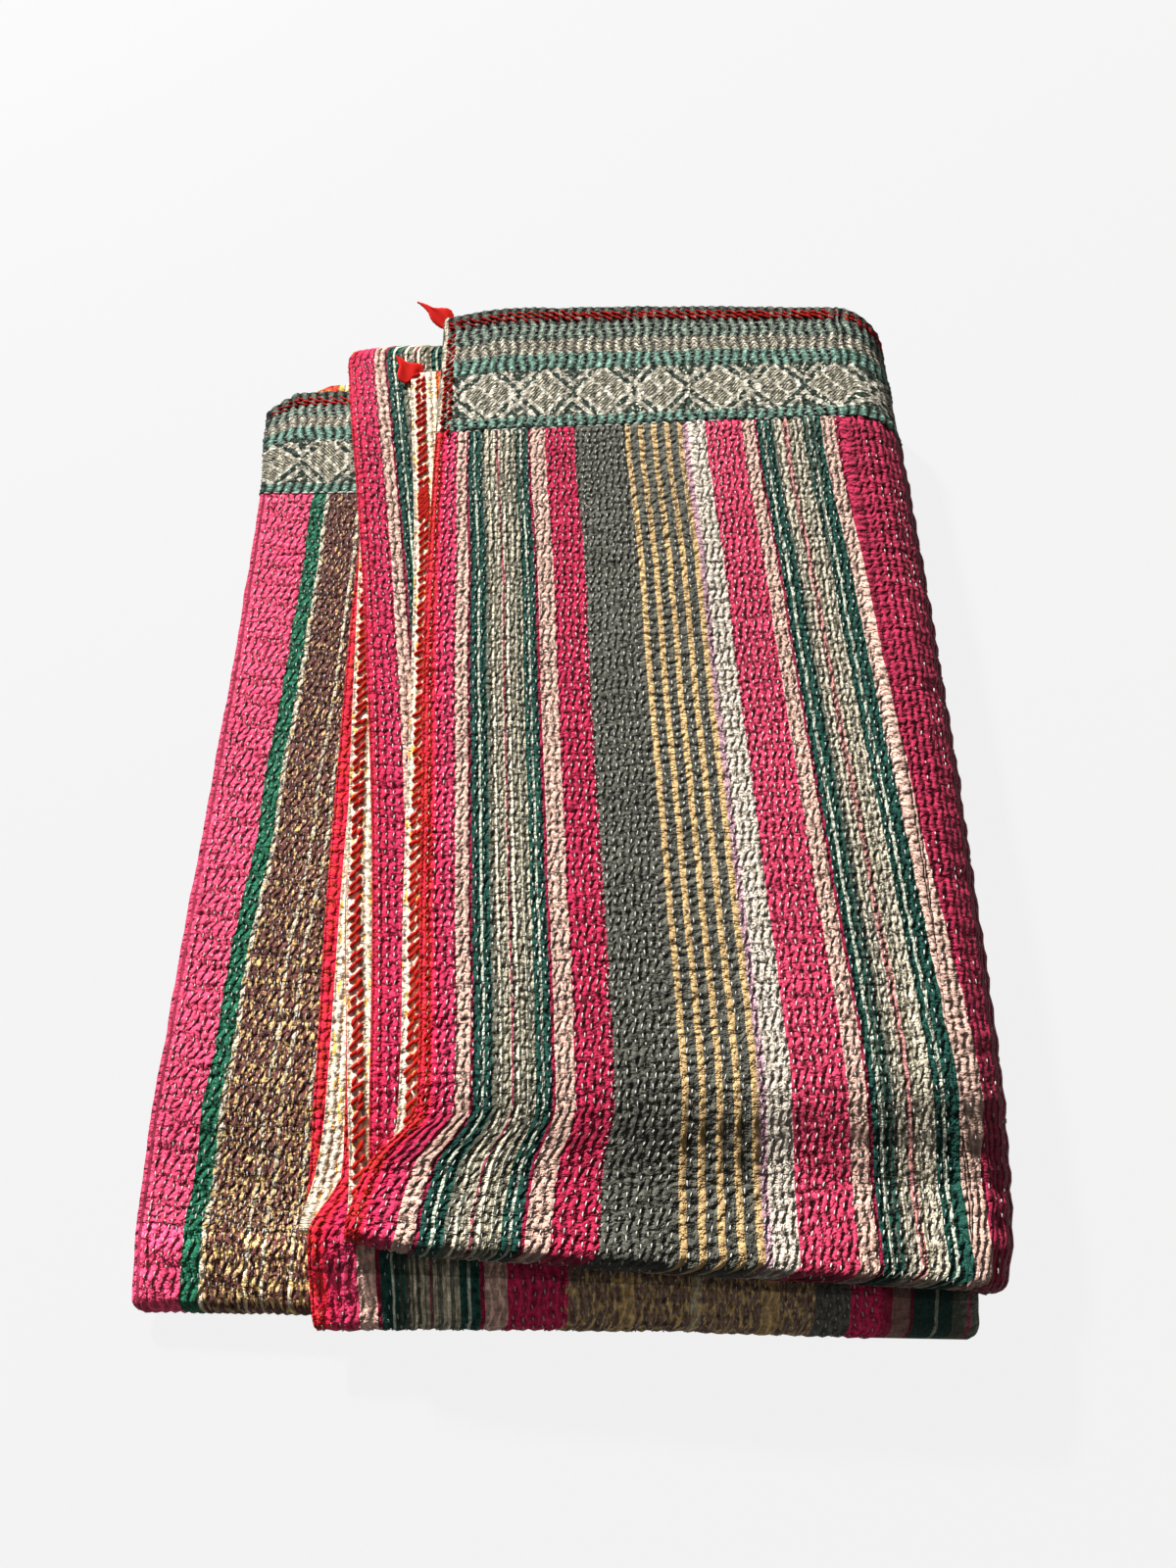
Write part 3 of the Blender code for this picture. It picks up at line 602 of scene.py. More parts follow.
def packed(*parts):
    """Kinds, places and row numbers of columns; without row numbers a part has none."""
    kinds, values, rows = [], [], []
    for kind, places, *numbers in parts:
        kinds += [kind] * len(places)
        values += list(places)
        rows += list(numbers[0]) if numbers else [0.0] * len(places)
    return np.array(kinds), np.array(values, float), np.array(rows, float)


def column_list(top, left, low):
    """Columns right across: those given and, between them, what every list shares."""
    return packed((FROM_UPPER_EDGE, [0.0, 0.2, 0.8]), *top,
                  (PLAIN, [2.0, 2.15, 2.3, 2.45, 2.6, 2.72]), left,
                  (PLAIN, np.linspace(3.0, 4.0, 6, endpoint=False)),
                  (PAST_LEFT, [0.0, 3.0, 8.0, 16.0, 36.0, 61.0, 198.0]),
                  (PLAIN, np.linspace(5.0, 6.0, 9, endpoint=False)),
                  (FROM_LOWER_EDGE, [250.0, 180.0, 110.0]), low,
                  (FROM_LOWER_EDGE, [0.8, 0.2, 0.0]))


def stretch_lists(row_gap):
    """Columns across the front and the back for each set of rings."""
    half = row_gap / 2
    top_u, top_rows = row_place(row_gap)
    last_row = top_rows[-1]
    to_turn, rib_to_turn = np.array([0.25, 0.5, 0.75]), np.arange(1, 8) / 8
    turn = np.linspace(1.0, 2.0, 30, endpoint=False)
    inner_turn = (PLAIN, np.linspace(1.0, 2.0, 10, endpoint=False))
    near_edge, nose_u = np.arange(2.0, 24.0, half), np.arange(2.0, LAST_COLUMN, half * 1.25)
    rib_u, rib_left = np.arange(1.5, LAST_COLUMN, 1.5), np.arange(91.5, 0.9, -1.5)
    near_left, some_left = np.arange(92.0, 0.9, -half), np.arange(16.0, 0.9, -row_gap)
    low_edge, low_some = np.arange(48.0, 0.9, -half), np.arange(20.0, 0.9, -half)
    back_near, back_top = list(np.arange(3.0, 24.0, 3.0)), list(np.arange(24.0, 246.0, 24.0))
    showing = ((FROM_UPPER_EDGE, top_u[1:], top_rows[1:]),
               (TO_TURN, to_turn, last_row + TO_TURN_ROWS * to_turn),
               (PLAIN, turn, last_row + TO_TURN_ROWS + TURN_ROWS * (turn - 1.0)))
    covered = ((FROM_UPPER_EDGE, near_edge, near_edge / row_gap),
               (FROM_UPPER_EDGE, np.arange(30.0, 250.0, 20.0)), inner_turn)
    nose = ((FROM_UPPER_EDGE, nose_u, nose_u / row_gap), inner_turn)
    ribbed = ((FROM_UPPER_EDGE, rib_u, rib_u / RIB),
              (TO_TURN, rib_to_turn, 40.75 + 1.25 * rib_to_turn),
              (PLAIN, turn, 42.0 + 15.0 * (turn - 1.0)))
    fine_left = (FROM_LEFT, near_left, (HALF_WIDTH - near_left) / row_gap)
    few_left = (FROM_LEFT, some_left, (HALF_WIDTH - some_left) / row_gap)
    fine_low = (FROM_LOWER_EDGE, low_edge, low_edge / row_gap)
    few_low = (FROM_LOWER_EDGE, low_some, low_some / row_gap)
    return {
        "first": column_list(showing, few_left, few_low),
        "inner": column_list(covered, few_left, fine_low),
        "hidden": column_list(covered, few_left, few_low),
        "nose": column_list(nose, fine_left, fine_low),
        "last": column_list(covered, fine_left, few_low),
        "back": column_list(((FROM_UPPER_EDGE, back_near + back_top),
                             (PLAIN, np.linspace(1.0, 2.0, 8, endpoint=False))),
                            (FROM_LEFT, [60.0, 36.0, 16.0, 8.0]),
                            (FROM_LOWER_EDGE, [80.0, 60.0] + back_near[::-1])),
        "border": column_list(ribbed, (FROM_LEFT, rib_left, rib_left / RIB),
                              (FROM_LOWER_EDGE, low_edge, low_edge / RIB)),
    }


def list_for(length):
    """Which of the column lists the front takes on a stretch."""
    if length <= 4:
        return "first"
    if length in (9, 10):
        return "hidden"
    if 11 <= length <= 15:
        return "nose"
    return "last" if length > 15 else "inner"


def rounded(across, length, share):
    """0 at the cloth's open edges, rising to 1 over their rounding."""
    _, _, _, is_lower, edge, turn_x, _ = outlines(across, length, share)
    on_top = np.where(is_lower, ACROSS_END - across, across)
    near = np.clip(on_top * (turn_x - edge) / ROUND, 0.0, 1.0)
    return np.sqrt(np.clip(1.0 - (1.0 - near) ** 2, 0.0, 1.0))


def ring_shares(length):
    """Shares of a stretch at which rings lie."""
    size, step = LENGTHS[length][7:9]
    count = max(2, int(round(size / step)))
    return np.arange(count) / count


def stitch_number(rows, v, pitch_mm):
    """How many stitches along a row a place lies, with each row a little uneven."""
    return v / pitch_mm + 0.42 * drift(rows * 4.0, v, 3.1, 23.0) + 0.3 * np.sin(rows * 2.4)


def row_wander(value, v):
    """How far a row strays sideways, in millimetres."""
    quick = np.sin(2.0 * math.pi * v / 13.5 + value * 0.13 + 1.7 * drift(value, v, 8.3, 45.0))
    return 0.75 * drift(value * 0.55, v, 5.3, 31.0) + (0.85 + 0.75 * (v > STARTS[14])) * quick


def front_lift(u, v, rows, puff_mm):
    """How far the patched face stands out over the cloth's plain face."""
    between = 0.5 - 0.5 * np.cos(2.0 * math.pi * rows)
    cords = ((v > BORDER_1_END) & (v < SECOND_HALF) & (u > CORDS_FROM - 2.0)
             & (u < CORDS_FROM + CORDS * CORD_PITCH - 3.0))
    lift = puff_mm * between * np.where(cords, 1.7, 1.0)
    right = ease((u - 168.0) / 60.0) * ease((390.0 - u) / 60.0)
    wrinkles = np.sin(2.0 * math.pi * v / 14.0 + 1.6 * drift(u, v, 7.7, 19.0))
    lift = lift + 0.5 * right * wrinkles * (v > BORDER_1_END) * (v < SECOND_HALF)
    return lift + 0.3 * drift(u, v, 2.2, 9.0) + 0.22 * drift(u, v, 6.1, 4.2)


def build_cloth(name, settings):
    """The quilt as one closed sheet on the folds of its solid."""
    row_gap, puff_mm = settings.row_gap / MM, settings.puff / MM
    pitch_mm = settings.stitch_pitch / MM
    lists = stretch_lists(row_gap)
    points, cloth_uv, rows_uv = [], [], []
    faces, backs = [], []
    total = 0
    earlier = None
    end = len(LENGTHS) - 1
    for length in range(len(LENGTHS)):
        shares = list(ring_shares(length))
        if length == 0:
            shares = [shares[0], 0.002, 0.008, *shares[1:], 0.997]
        elif length == end:
            shares = [shares[0], 0.004, *shares[1:], 0.991, 0.998, 1.0]
        in_border = length in (0, end)
        for share in shares:
            bed = BORDER_BED if in_border and 0.0 < share < 1.0 else 0.0
            if length == end and share < 0.002:
                bed = 0.0
            v_here = STARTS[length] + LENGTHS[length][7] * share
            hem = min(v_here, CLOTH_LENGTH - v_here)
            thin = math.sqrt(max(0.0, 1.0 - (1.0 - min(hem / ROUND, 1.0)) ** 2))
            ring = []
            for side, list_name in ((1.0, list_for(length)), (-1.0, "back")):
                kinds, values, rows = lists[list_name]
                moved = values
                if side > 0:
                    strays = np.isin(kinds, (FROM_UPPER_EDGE, FROM_LEFT, FROM_LOWER_EDGE))
                    shift = row_wander(values, v_here) * strays
                    moved = values + shift * np.clip((values - 2.0) / 8.0, 0.0, 1.0)
                shares_here = np.full(len(kinds), float(share))
                across = to_across(kinds, moved, length, shares_here)
                here, _, _, outward = cloth_frame(across, length, shares_here)
                u = width_at(across, length, shares_here)
                half = (CLOTH / 2) * rounded(across, length, shares_here) * thin
                if side > 0:
                    lift = half - bed * (half > 0.5)
                    edge_fade = np.clip(half / (CLOTH / 2) * 2.0 - 1.0, 0.0, 1.0)
                    if not in_border:
                        lift = lift + front_lift(u, np.full_like(u, v_here), rows, puff_mm) * edge_fade
                    floor_side = np.clip(outward[:, 2] * 2.0 + 0.8, 0.0, 1.0)
                    lift = np.where(floor_side > 0.99, lift, np.minimum(lift, half + floor_side))
                else:
                    lift = -half
                put = here + outward * lift[:, None]
                put[:, 2] = np.maximum(put[:, 2], 0.02)
                points.append(put)
                cloth_uv.append(np.stack([u, np.full_like(u, v_here)], axis=1) * MM)
                if side < 0:
                    rows = u / row_gap
                rows_uv.append(np.stack([rows, stitch_number(rows, v_here, pitch_mm)], axis=1))
                ring.append((np.arange(total, total + len(put)), across))
                total += len(put)
            if earlier is not None:
                (front, front_at), (back, back_at) = earlier
                (next_front, next_front_at), (next_back, next_back_at) = ring
                faces += zip_rows(front, front_at, next_front, next_front_at)
                backs += [f[::-1] for f in zip_rows(back, back_at, next_back, next_back_at)]
                faces.append((back[0], front[0], next_front[0], next_back[0]))
                faces.append((front[-1], back[-1], next_back[-1], next_front[-1]))
            else:
                faces += zip_rows(*ring[1], *ring[0])
            earlier = ring
    faces += [f[::-1] for f in zip_rows(*earlier[1], *earlier[0])]
    item = mesh_object(name, np.concatenate(points), faces + backs)
    mesh = item.data
    numbers = np.zeros(len(mesh.polygons), dtype=np.int32)
    numbers[len(faces):] = 1
    mesh.polygons.foreach_set("material_index", numbers)
    set_uv(mesh, "cloth", np.concatenate(cloth_uv))
    set_uv(mesh, "rows", np.concatenate(rows_uv))
    return item


def zip_rows(first, first_at, second, second_at):
    """Faces between two rows of points, matched by their places along the rows."""
    if len(first) == len(second):
        return [(first[i], first[i + 1], second[i + 1], second[i]) for i in range(len(first) - 1)]
    faces, i, j = [], 0, 0
    while i < len(first) - 1 or j < len(second) - 1:
        next_i = first_at[i + 1] if i < len(first) - 1 else math.inf
        next_j = second_at[j + 1] if j < len(second) - 1 else math.inf
        if abs(next_i - next_j) < 1e-4:
            faces.append((first[i], first[i + 1], second[j + 1], second[j]))
            i, j = i + 1, j + 1
        elif next_i < next_j:
            faces.append((first[i], first[i + 1], second[j]))
            i += 1
        else:
            faces.append((first[i], second[j + 1], second[j]))
            j += 1
    return faces


def mesh_object(name, points, faces):
    """A smooth mesh object from points in layout millimetres."""
    mesh = bpy.data.meshes.new(name)
    shift = np.array([MIDDLE_X, MIDDLE_Y, 0.0])
    mesh.from_pydata(((points - shift) * MM).tolist(), [], [tuple(int(i) for i in f) for f in faces])
    mesh.validate()
    mesh.shade_smooth()
    item = bpy.data.objects.new(name, mesh)
    bpy.context.collection.objects.link(item)
    return item


def set_uv(mesh, name, values):
    """A UV map from one pair of numbers for each point of the mesh."""
    layer = mesh.uv_layers.new(name=name)
    corners = np.empty(len(mesh.loops), dtype=np.int64)
    mesh.loops.foreach_get("vertex_index", corners)
    layer.data.foreach_set("uv", values[corners].astype(np.float32).ravel())


# ------------------------------------------------------------ border strips

def build_border(name, length, settings):
    """A woven border strip lying in its bed, right across the cloth."""
    first = length == 0
    kinds, values, ribs = stretch_lists(settings.row_gap / MM)["border"]
    size = LENGTHS[length][7]
    shares = np.linspace(0.0, 1.0, int(size / 2.0))
    shares = np.concatenate([[0.0, 0.004, 0.012], shares[1:-1], [0.985, 0.992]]) if first else (
        np.concatenate([[0.009, 0.014], shares[1:-1], [0.988, 0.996, 1.0]]))
    points, uv, rib_uv, total, rings = [], [], [], 0, []
    half = CLOTH / 2
    for share in shares:
        share_list = np.full(len(kinds), share)
        across = to_across(kinds, values, length, share_list)
        here, _, _, outward = cloth_frame(across, length, share_list)
        u = width_at(across, length, share_list)
        from_hem = size * (share if first else 1.0 - share)
        to_seam = size - from_hem
        near = min(max(min(from_hem, to_seam) / 1.0, 0.0), 1.0)
        round_off = math.sqrt(1.0 - (1.0 - near) ** 2) * rounded(across, length, share_list)
        bends = 1.5 * drift(u, from_hem, 3.6, 16.0)
        swing = 0.16 * np.sin(2.0 * math.pi * from_hem / 17.0 + 0.5 * ribs + bends)
        puffs = np.abs(np.sin(math.pi * (ribs + swing))) ** 0.7
        puffs = puffs * (0.8 + 0.3 * drift(u, from_hem, 4.4, 7.0))
        in_diamonds = ease((from_hem - 48.0) / 4.0) * ease((88.0 - from_hem) / 4.0)
        roll = (0.8 * math.exp(-((from_hem - 3.5) / 2.6) ** 2)
                - 0.35 * math.exp(-((from_hem - 8.0) / 1.6) ** 2))
        looks = np.clip(outward[:, 2] * 2.0 + 0.8, 0.0, 1.0)
        cross_puffs = 0.45 * np.sin(2.0 * math.pi * from_hem / 3.5 + 2.2 * drift(u, from_hem, 1.4, 11.0))
        outer = half - 0.35 + (0.25 + (1.8 - 1.0 * in_diamonds) * puffs + cross_puffs + roll) * looks
        inner = half - BORDER_BED + 0.02
        outer = inner + (outer - inner) * round_off
        for lift in (outer, np.full_like(outer, inner)):
            put = here + outward * lift[:, None]
            put[:, 2] = np.maximum(put[:, 2], 0.02)
            points.append(put)
            down = from_hem * LENGTHS[0][7] / size
            uv.append(np.stack([u, np.full_like(u, down)], axis=1) * MM)
            rib_uv.append(np.stack([ribs + swing, np.full_like(u, from_hem)], axis=1))
        count = len(kinds)
        rings.append((np.arange(total, total + count), np.arange(total + count, total + 2 * count)))
        total += 2 * count
    faces = []
    for (top, low), (next_top, next_low) in zip(rings, rings[1:]):
        faces += [(top[i], top[i + 1], next_top[i + 1], next_top[i]) for i in range(count - 1)]
        faces += [(low[i + 1], low[i], next_low[i], next_low[i + 1]) for i in range(count - 1)]
        faces.append((low[0], top[0], next_top[0], next_low[0]))
        faces.append((top[-1], low[-1], next_low[-1], next_top[-1]))
    top, low = rings[0]
    faces += [(low[i], low[i + 1], top[i + 1], top[i]) for i in range(count - 1)]
    top, low = rings[-1]
    faces += [(low[i + 1], low[i], top[i], top[i + 1]) for i in range(count - 1)]
    item = mesh_object(name, np.concatenate(points), faces)
    set_uv(item.data, "cloth", np.concatenate(uv))
    set_uv(item.data, "ribs", np.concatenate(rib_uv))
    return item


# ------------------------------------------------------------ stitches

def grain_shape(segments, rings):
    """Points and faces of one grain of thread, a unit sphere."""
    bpy.ops.object.select_all(action="DESELECT")
    bpy.ops.mesh.primitive_uv_sphere_add(segments=segments, ring_count=rings, radius=1.0)
    item = bpy.context.object
    shape = np.array([tuple(v.co) for v in item.data.vertices])
    faces = [tuple(p.vertices) for p in item.data.polygons]
    mesh = item.data
    bpy.data.objects.remove(item, do_unlink=True)
    bpy.data.meshes.remove(mesh)
    return shape, faces


def joined_grains(name, centres, ahead, beside, outward, sizes, shape, faces):
    """One mesh of many grains: sizes are half-lengths along, across and out."""
    count, corners = len(centres), len(shape)
    along = shape[:, 2]
    local = (ahead[:, None, :] * (along[None, :, None] * sizes[:, None, 0:1])
             + beside[:, None, :] * (shape[None, :, 0:1] * sizes[:, None, 1:2])
             + outward[:, None, :] * (shape[None, :, 1:2] * sizes[:, None, 2:3]))
    points = (centres[:, None, :] + local).reshape(-1, 3)
    points[:, 2] = np.maximum(points[:, 2], 0.03)
    every = []
    for face in faces:
        every.append(np.array(face)[None, :] + np.arange(count)[:, None] * corners)
    joined = [tuple(row) for block in every for row in block.tolist()]
    return mesh_object(name, points, joined)


def unit(vectors):
    """The same vectors, each of length 1."""
    return vectors / np.linalg.norm(vectors, axis=1)[:, None]


def column_wise(parts):
    """Each column of the parts' tuples as one array."""
    return [np.concatenate(column) for column in zip(*parts)]


def grain_sizes(long, wide, high):
    """Half-lengths of grains that are of one width and one height."""
    ones = np.ones(len(long))
    return np.stack([long, wide * ones, high * ones], axis=1)


def places_on(kind, values, v):
    """Frames of the cloth at distances (of one kind) and lengths along it."""
    values, v = np.asarray(values, float), np.asarray(v, float)
    here, side, ahead, outward = (np.zeros((len(v), 3)) for _ in range(4))
    stretch = np.clip(np.searchsorted(STARTS, v, side="right") - 1, 0, len(LENGTHS) - 1)
    u = np.zeros(len(v))
    for length in np.unique(stretch):
        chosen = stretch == length
        share = (v[chosen] - STARTS[length]) / LENGTHS[length][7]
        kinds = np.full(chosen.sum(), kind)
        across = to_across(kinds, values[chosen], int(length), share)
        got = cloth_frame(across, int(length), share)
        here[chosen], side[chosen], ahead[chosen], outward[chosen] = got
        u[chosen] = width_at(across, int(length), share)
    return here, side, ahead, outward, u


def stitch_rows(kind, rows, values, v_from, v_to, pitch_mm, rng):
    """Distances and lengths along the cloth of all the stitches of some rows."""
    all_values, all_v = [], []
    for row, value in zip(rows, values):
        numbers = np.arange(int(v_from / pitch_mm) - 2, int(v_to / pitch_mm) + 3)
        numbers = numbers + 0.5 * (int(row) % 2)
        v = numbers * pitch_mm
        for _ in range(4):
            v = v + (numbers - stitch_number(row, v, pitch_mm)) * pitch_mm
        v = v + rng.normal(0.0, 0.28, len(v))
        v = v[(v > v_from + 1.0) & (v < v_to - 1.0)]
        wander = row_wander(value, v) * np.clip((value - 2.0) / 8.0, 0.0, 1.0)
        wander = wander * (kind != PLAIN)
        all_values.append(np.full(len(v), value) + wander)
        all_v.append(v)
    return np.concatenate(all_values), np.concatenate(all_v)


def build_running_stitches(name, settings):
    """The white running stitches on everything that shows."""
    rng = np.random.default_rng(11)
    pitch_mm, row_gap = settings.stitch_pitch / MM, settings.row_gap / MM
    top_u, top_rows = row_place(row_gap)
    whole = (np.abs(top_rows - np.round(top_rows)) < 1e-6) & (top_u > 3.0)
    last_row = top_rows[-1]
    before_turn = last_row + TO_TURN_ROWS
    turn_rows = np.arange(math.ceil(before_turn), before_turn + TURN_ROWS - 0.5)
    left = np.arange(math.ceil((HALF_WIDTH - 92.0) / row_gap),
                     math.floor((HALF_WIDTH - 1.0) / row_gap) + 1)
    nose, low = np.arange(1, int(LAST_COLUMN / row_gap)), np.arange(1, int(56.0 / row_gap))
    showing = (
        # kind, row numbers, their places, first and last stretch
        (FROM_UPPER_EDGE, top_rows[whole], top_u[whole], 1, 5),
        (PLAIN, turn_rows, 1.0 + (turn_rows - last_row - TO_TURN_ROWS) / TURN_ROWS, 1, 5),
        (FROM_LEFT, left, HALF_WIDTH - left * row_gap, 14, 18),
        (FROM_UPPER_EDGE, nose, nose * row_gap, 12, 15),
        (FROM_LOWER_EDGE, low, low * row_gap, 4, 8),
    )
    groups = []
    for kind, rows, places, first, last in showing:
        values, v = stitch_rows(kind, rows, places, STARTS[first], STARTS[last], pitch_mm, rng)
        share = 0.35 if kind == PLAIN else 1.0
        seen = rng.random(len(v)) < share
        groups.append(places_on(kind, values[seen], v[seen])[:4])
    here, side, ahead, outward = column_wise(groups)
    keep = rng.random(len(here)) > 0.06
    here, side, ahead, outward = here[keep], side[keep], ahead[keep], outward[keep]
    count = len(here)
    slant = rng.normal(0.0, 0.14, count)[:, None]
    ahead = unit(ahead + side * slant)
    side = np.cross(outward, ahead)
    long = settings.stitch_length / MM / 2 * rng.uniform(0.6, 1.2, count)
    wide = settings.stitch_width / MM / 2 * rng.uniform(0.75, 1.15, count)
    centres = here + outward * (CLOTH / 2 + 0.28)
    sizes = np.stack([long, wide, wide], axis=1)
    shape, faces = grain_shape(4, 3)
    return joined_grains(name, centres, ahead, side, outward, sizes, shape, faces)


def build_seam_stitches(name):
    """The white stitches of the borders and of the seams."""
    rng = np.random.default_rng(31)
    grains = column_wise(border_grains(rng) + seam_grains(rng))
    return joined_grains(name, *grains, *grain_shape(5, 4))


def border_grains(rng):
    """White stitches in the hollows between the ribs of the two borders."""
    parts = []
    from_hem = (15.5, 19.0, 22.5, 39.5, 43.0, 46.5, 88.5, 92.0)
    for kind, size in ((FROM_UPPER_EDGE, LAST_COLUMN), (FROM_LEFT, 90.0)):
        for row in from_hem:
            values = np.arange(RIB, size, RIB)
            values = values + rng.normal(0.0, 0.35, len(values))
            hem = row + rng.normal(0.0, 0.5, len(values))
            v = CLOTH_LENGTH - hem if kind == FROM_LEFT else hem
            here, side, ahead, outward, _ = places_on(kind, values, v)
            heading = unit(side + ahead * rng.normal(0.0, 0.25, len(v))[:, None])
            sizes = grain_sizes(rng.uniform(0.8, 1.4, len(v)), 0.36, 0.4)
            parts.append((here + outward * (CLOTH / 2 + 1.0), heading, np.cross(outward, heading),
                          outward, sizes))
    return parts


def seam_grains(rng):
    """Slip stitches along the patches' seams, and the scallops along the border's."""
    parts = []
    for value in (90.0, 168.0):
        v = np.arange(STARTS[1] + 3.0, STARTS[5] - 3.0, 5.4)
        v = v + rng.normal(0.0, 0.6, len(v))
        here, side, ahead, outward, _ = places_on(FROM_UPPER_EDGE, value + row_wander(value, v), v)
        lean = np.where(np.arange(len(v)) % 2 == 0, 0.9, -0.5) + rng.normal(0.0, 0.2, len(v))
        heading = ahead * np.cos(lean)[:, None] + side * np.sin(lean)[:, None]
        sizes = grain_sizes(rng.uniform(0.8, 1.3, len(v)), 0.3, 0.3)
        parts.append((here + outward * (CLOTH / 2 + 0.6), heading, np.cross(outward, heading),
                      outward, sizes))
    for kind, size, v_here in ((FROM_UPPER_EDGE, LAST_COLUMN, BORDER_1_END - 0.2),
                               (FROM_LEFT, 90.0, BORDER_2_START + 0.4)):
        values = np.arange(3.0, size, 5.6)
        values = values + rng.normal(0.0, 0.4, len(values))
        v = np.full(len(values), v_here) + rng.normal(0.0, 0.25, len(values))
        here, side, _, outward, _ = places_on(kind, values, v)
        sizes = grain_sizes(rng.uniform(1.6, 2.5, len(v)), 0.75, 0.6)
        parts.append((here + outward * (CLOTH / 2 + 0.25), side, np.cross(outward, side),
                      outward, sizes))
    return parts


def edge_grains(rng, kind, distances, v_from, v_to, step, slant, long, wide, lift, out):
    """Slanted stitches along an edge: one row for each of the distances."""
    parts = []
    for number, value in enumerate(distances):
        v = np.arange(v_from, v_to, step) + 0.5 * step * (number % 2)
        v = v + rng.normal(0.0, 0.12 * step, len(v))
        values = value + rng.normal(0.0, 0.25, len(v)) * (kind != PLAIN)
        here, side, ahead, outward, _ = places_on(kind, values, v)
        lean = slant * (1.0 if number % 2 == 0 else 0.8) + rng.normal(0.0, 9.0, len(v))
        lean = np.radians(lean)[:, None]
        heading = ahead * np.cos(lean) + side * np.sin(lean)
        outward = outward * out
        beside = np.cross(outward, heading)
        sizes = np.stack([long / 2 * rng.uniform(0.8, 1.15, len(v)),
                          wide / 2 * rng.uniform(0.85, 1.15, len(v)),
                          wide / 2 * np.ones(len(v))], axis=1)
        parts.append((here + outward * (CLOTH / 2 + lift), heading, beside, outward, sizes))
    return parts


def build_red_stitches(name):
    """The red thread along the top leaf's edge, on the selvedges and on the hem."""
    rng = np.random.default_rng(23)
    hem, low_hem = np.arange(3.0, LAST_COLUMN, 3.3), np.arange(3.0, 90.0, 3.3)
    turn_hem = np.arange(0.995, 1.5, 0.045)
    low_from, low_to = CLOTH_LENGTH - 11.5, CLOTH_LENGTH - 5.0
    edges = (
        # kind, distances, from, to, step, slant, length, width, lift, which face
        # the top leaf's own edge, dense and slanted
        (FROM_UPPER_EDGE, (1.3, 3.5, 5.4), STARTS[1], STARTS[5], 2.4, -32.0, 3.6, 0.9, 0.35, 1.0),
        # the two hems, the upper one also round the right-hand turn
        (FROM_UPPER_EDGE, hem, 5.0, 11.5, 3.5, 62.0, 5.4, 1.7, 1.25, 1.0),
        (PLAIN, turn_hem, 5.0, 11.5, 3.5, 62.0, 5.0, 1.6, 1.25, 1.0),
        (FROM_LEFT, low_hem, low_from, low_to, 3.5, 62.0, 5.4, 1.7, 1.25, 1.0),
        # the border's own edge
        (FROM_UPPER_EDGE, (4.2, 7.6), 14.0, 93.0, 4.6, -38.0, 4.6, 1.7, 1.2, 1.0),
        # the selvedges that show beside it, on the reverse side
        (FROM_LOWER_EDGE, (4.6, 7.6), STARTS[0] + 4.0, STARTS[4], 5.4, 40.0, 5.8, 2.3, 0.5, -1.0),
        (FROM_UPPER_EDGE, (3.6, 6.6), STARTS[5], STARTS[8], 5.4, 40.0, 5.8, 2.3, 0.5, -1.0),
        # the edge of the lower near fold
        (FROM_UPPER_EDGE, (1.4, 3.6), STARTS[12], STARTS[15], 2.2, -32.0, 3.2, 0.9, 0.25, 1.0),
        # the edge of the second pass
        (FROM_LOWER_EDGE, (1.4,), STARTS[5], STARTS[8], 3.0, 32.0, 3.4, 0.9, 0.3, 1.0),
    )
    shape = grain_shape(5, 4)
    parts = [part for edge in edges for part in edge_grains(rng, *edge)]
    return joined_grains(name, *column_wise(parts), *shape)


# ------------------------------------------------------------ corner tabs

def build_tab(name, x, y, z, turn, length, width, rise):
    """A small cloth tab, folded double and gathered to a point."""
    steps, sides = 34, 28
    heading = math.radians(turn)
    ahead = np.array([math.cos(heading), math.sin(heading), 0.0])
    beside = np.array([-math.sin(heading), math.cos(heading), 0.0])
    up = np.array([0.0, 0.0, 1.0])
    x, y = x - TAB_TUCK * ahead[0], y - TAB_TUCK * ahead[1]
    length, width = length + TAB_TUCK, width + TAB_WIDER
    points, faces = [], []
    for step in range(steps):
        share = step / (steps - 1)
        belly = 0.62 + 0.55 * math.sin(math.pi * min(share * 1.7, 1.0))
        wide = max(width / 2 * belly * (1 - share) ** 0.8, 0.45)
        thick = 0.95 * (1.0 - 0.5 * share)
        centre = np.array([x, y, z + rise * math.sin(math.pi * 0.5 * share)]) + ahead * length * share
        for side in range(sides):
            angle = 2.0 * math.pi * side / sides
            out = math.cos(angle)
            fold = 1.1 * math.cos(out * 5.0 + share * 6.0) * (1.0 - share) * (1.0 - out * out)
            edge = 0.9 * math.sin(share * 11.0 + (2.0 if out > 0 else 4.4)) * (1.0 - share)
            fray = 0.22 * math.sin(share * 60.0 + side)
            points.append(centre + beside * (wide * 1.25 + edge + fray) * out
                          + up * (thick * math.sin(angle) + fold))
    for step in range(steps - 1):
        for side in range(sides):
            a, b = step * sides + side, step * sides + (side + 1) % sides
            faces.append((a, b, b + sides, a + sides))
    faces.append(tuple(range(sides))[::-1])
    faces.append(tuple(range((steps - 1) * sides, steps * sides)))
    return mesh_object(name, np.array(points), faces)


# ------------------------------------------------------------ materials

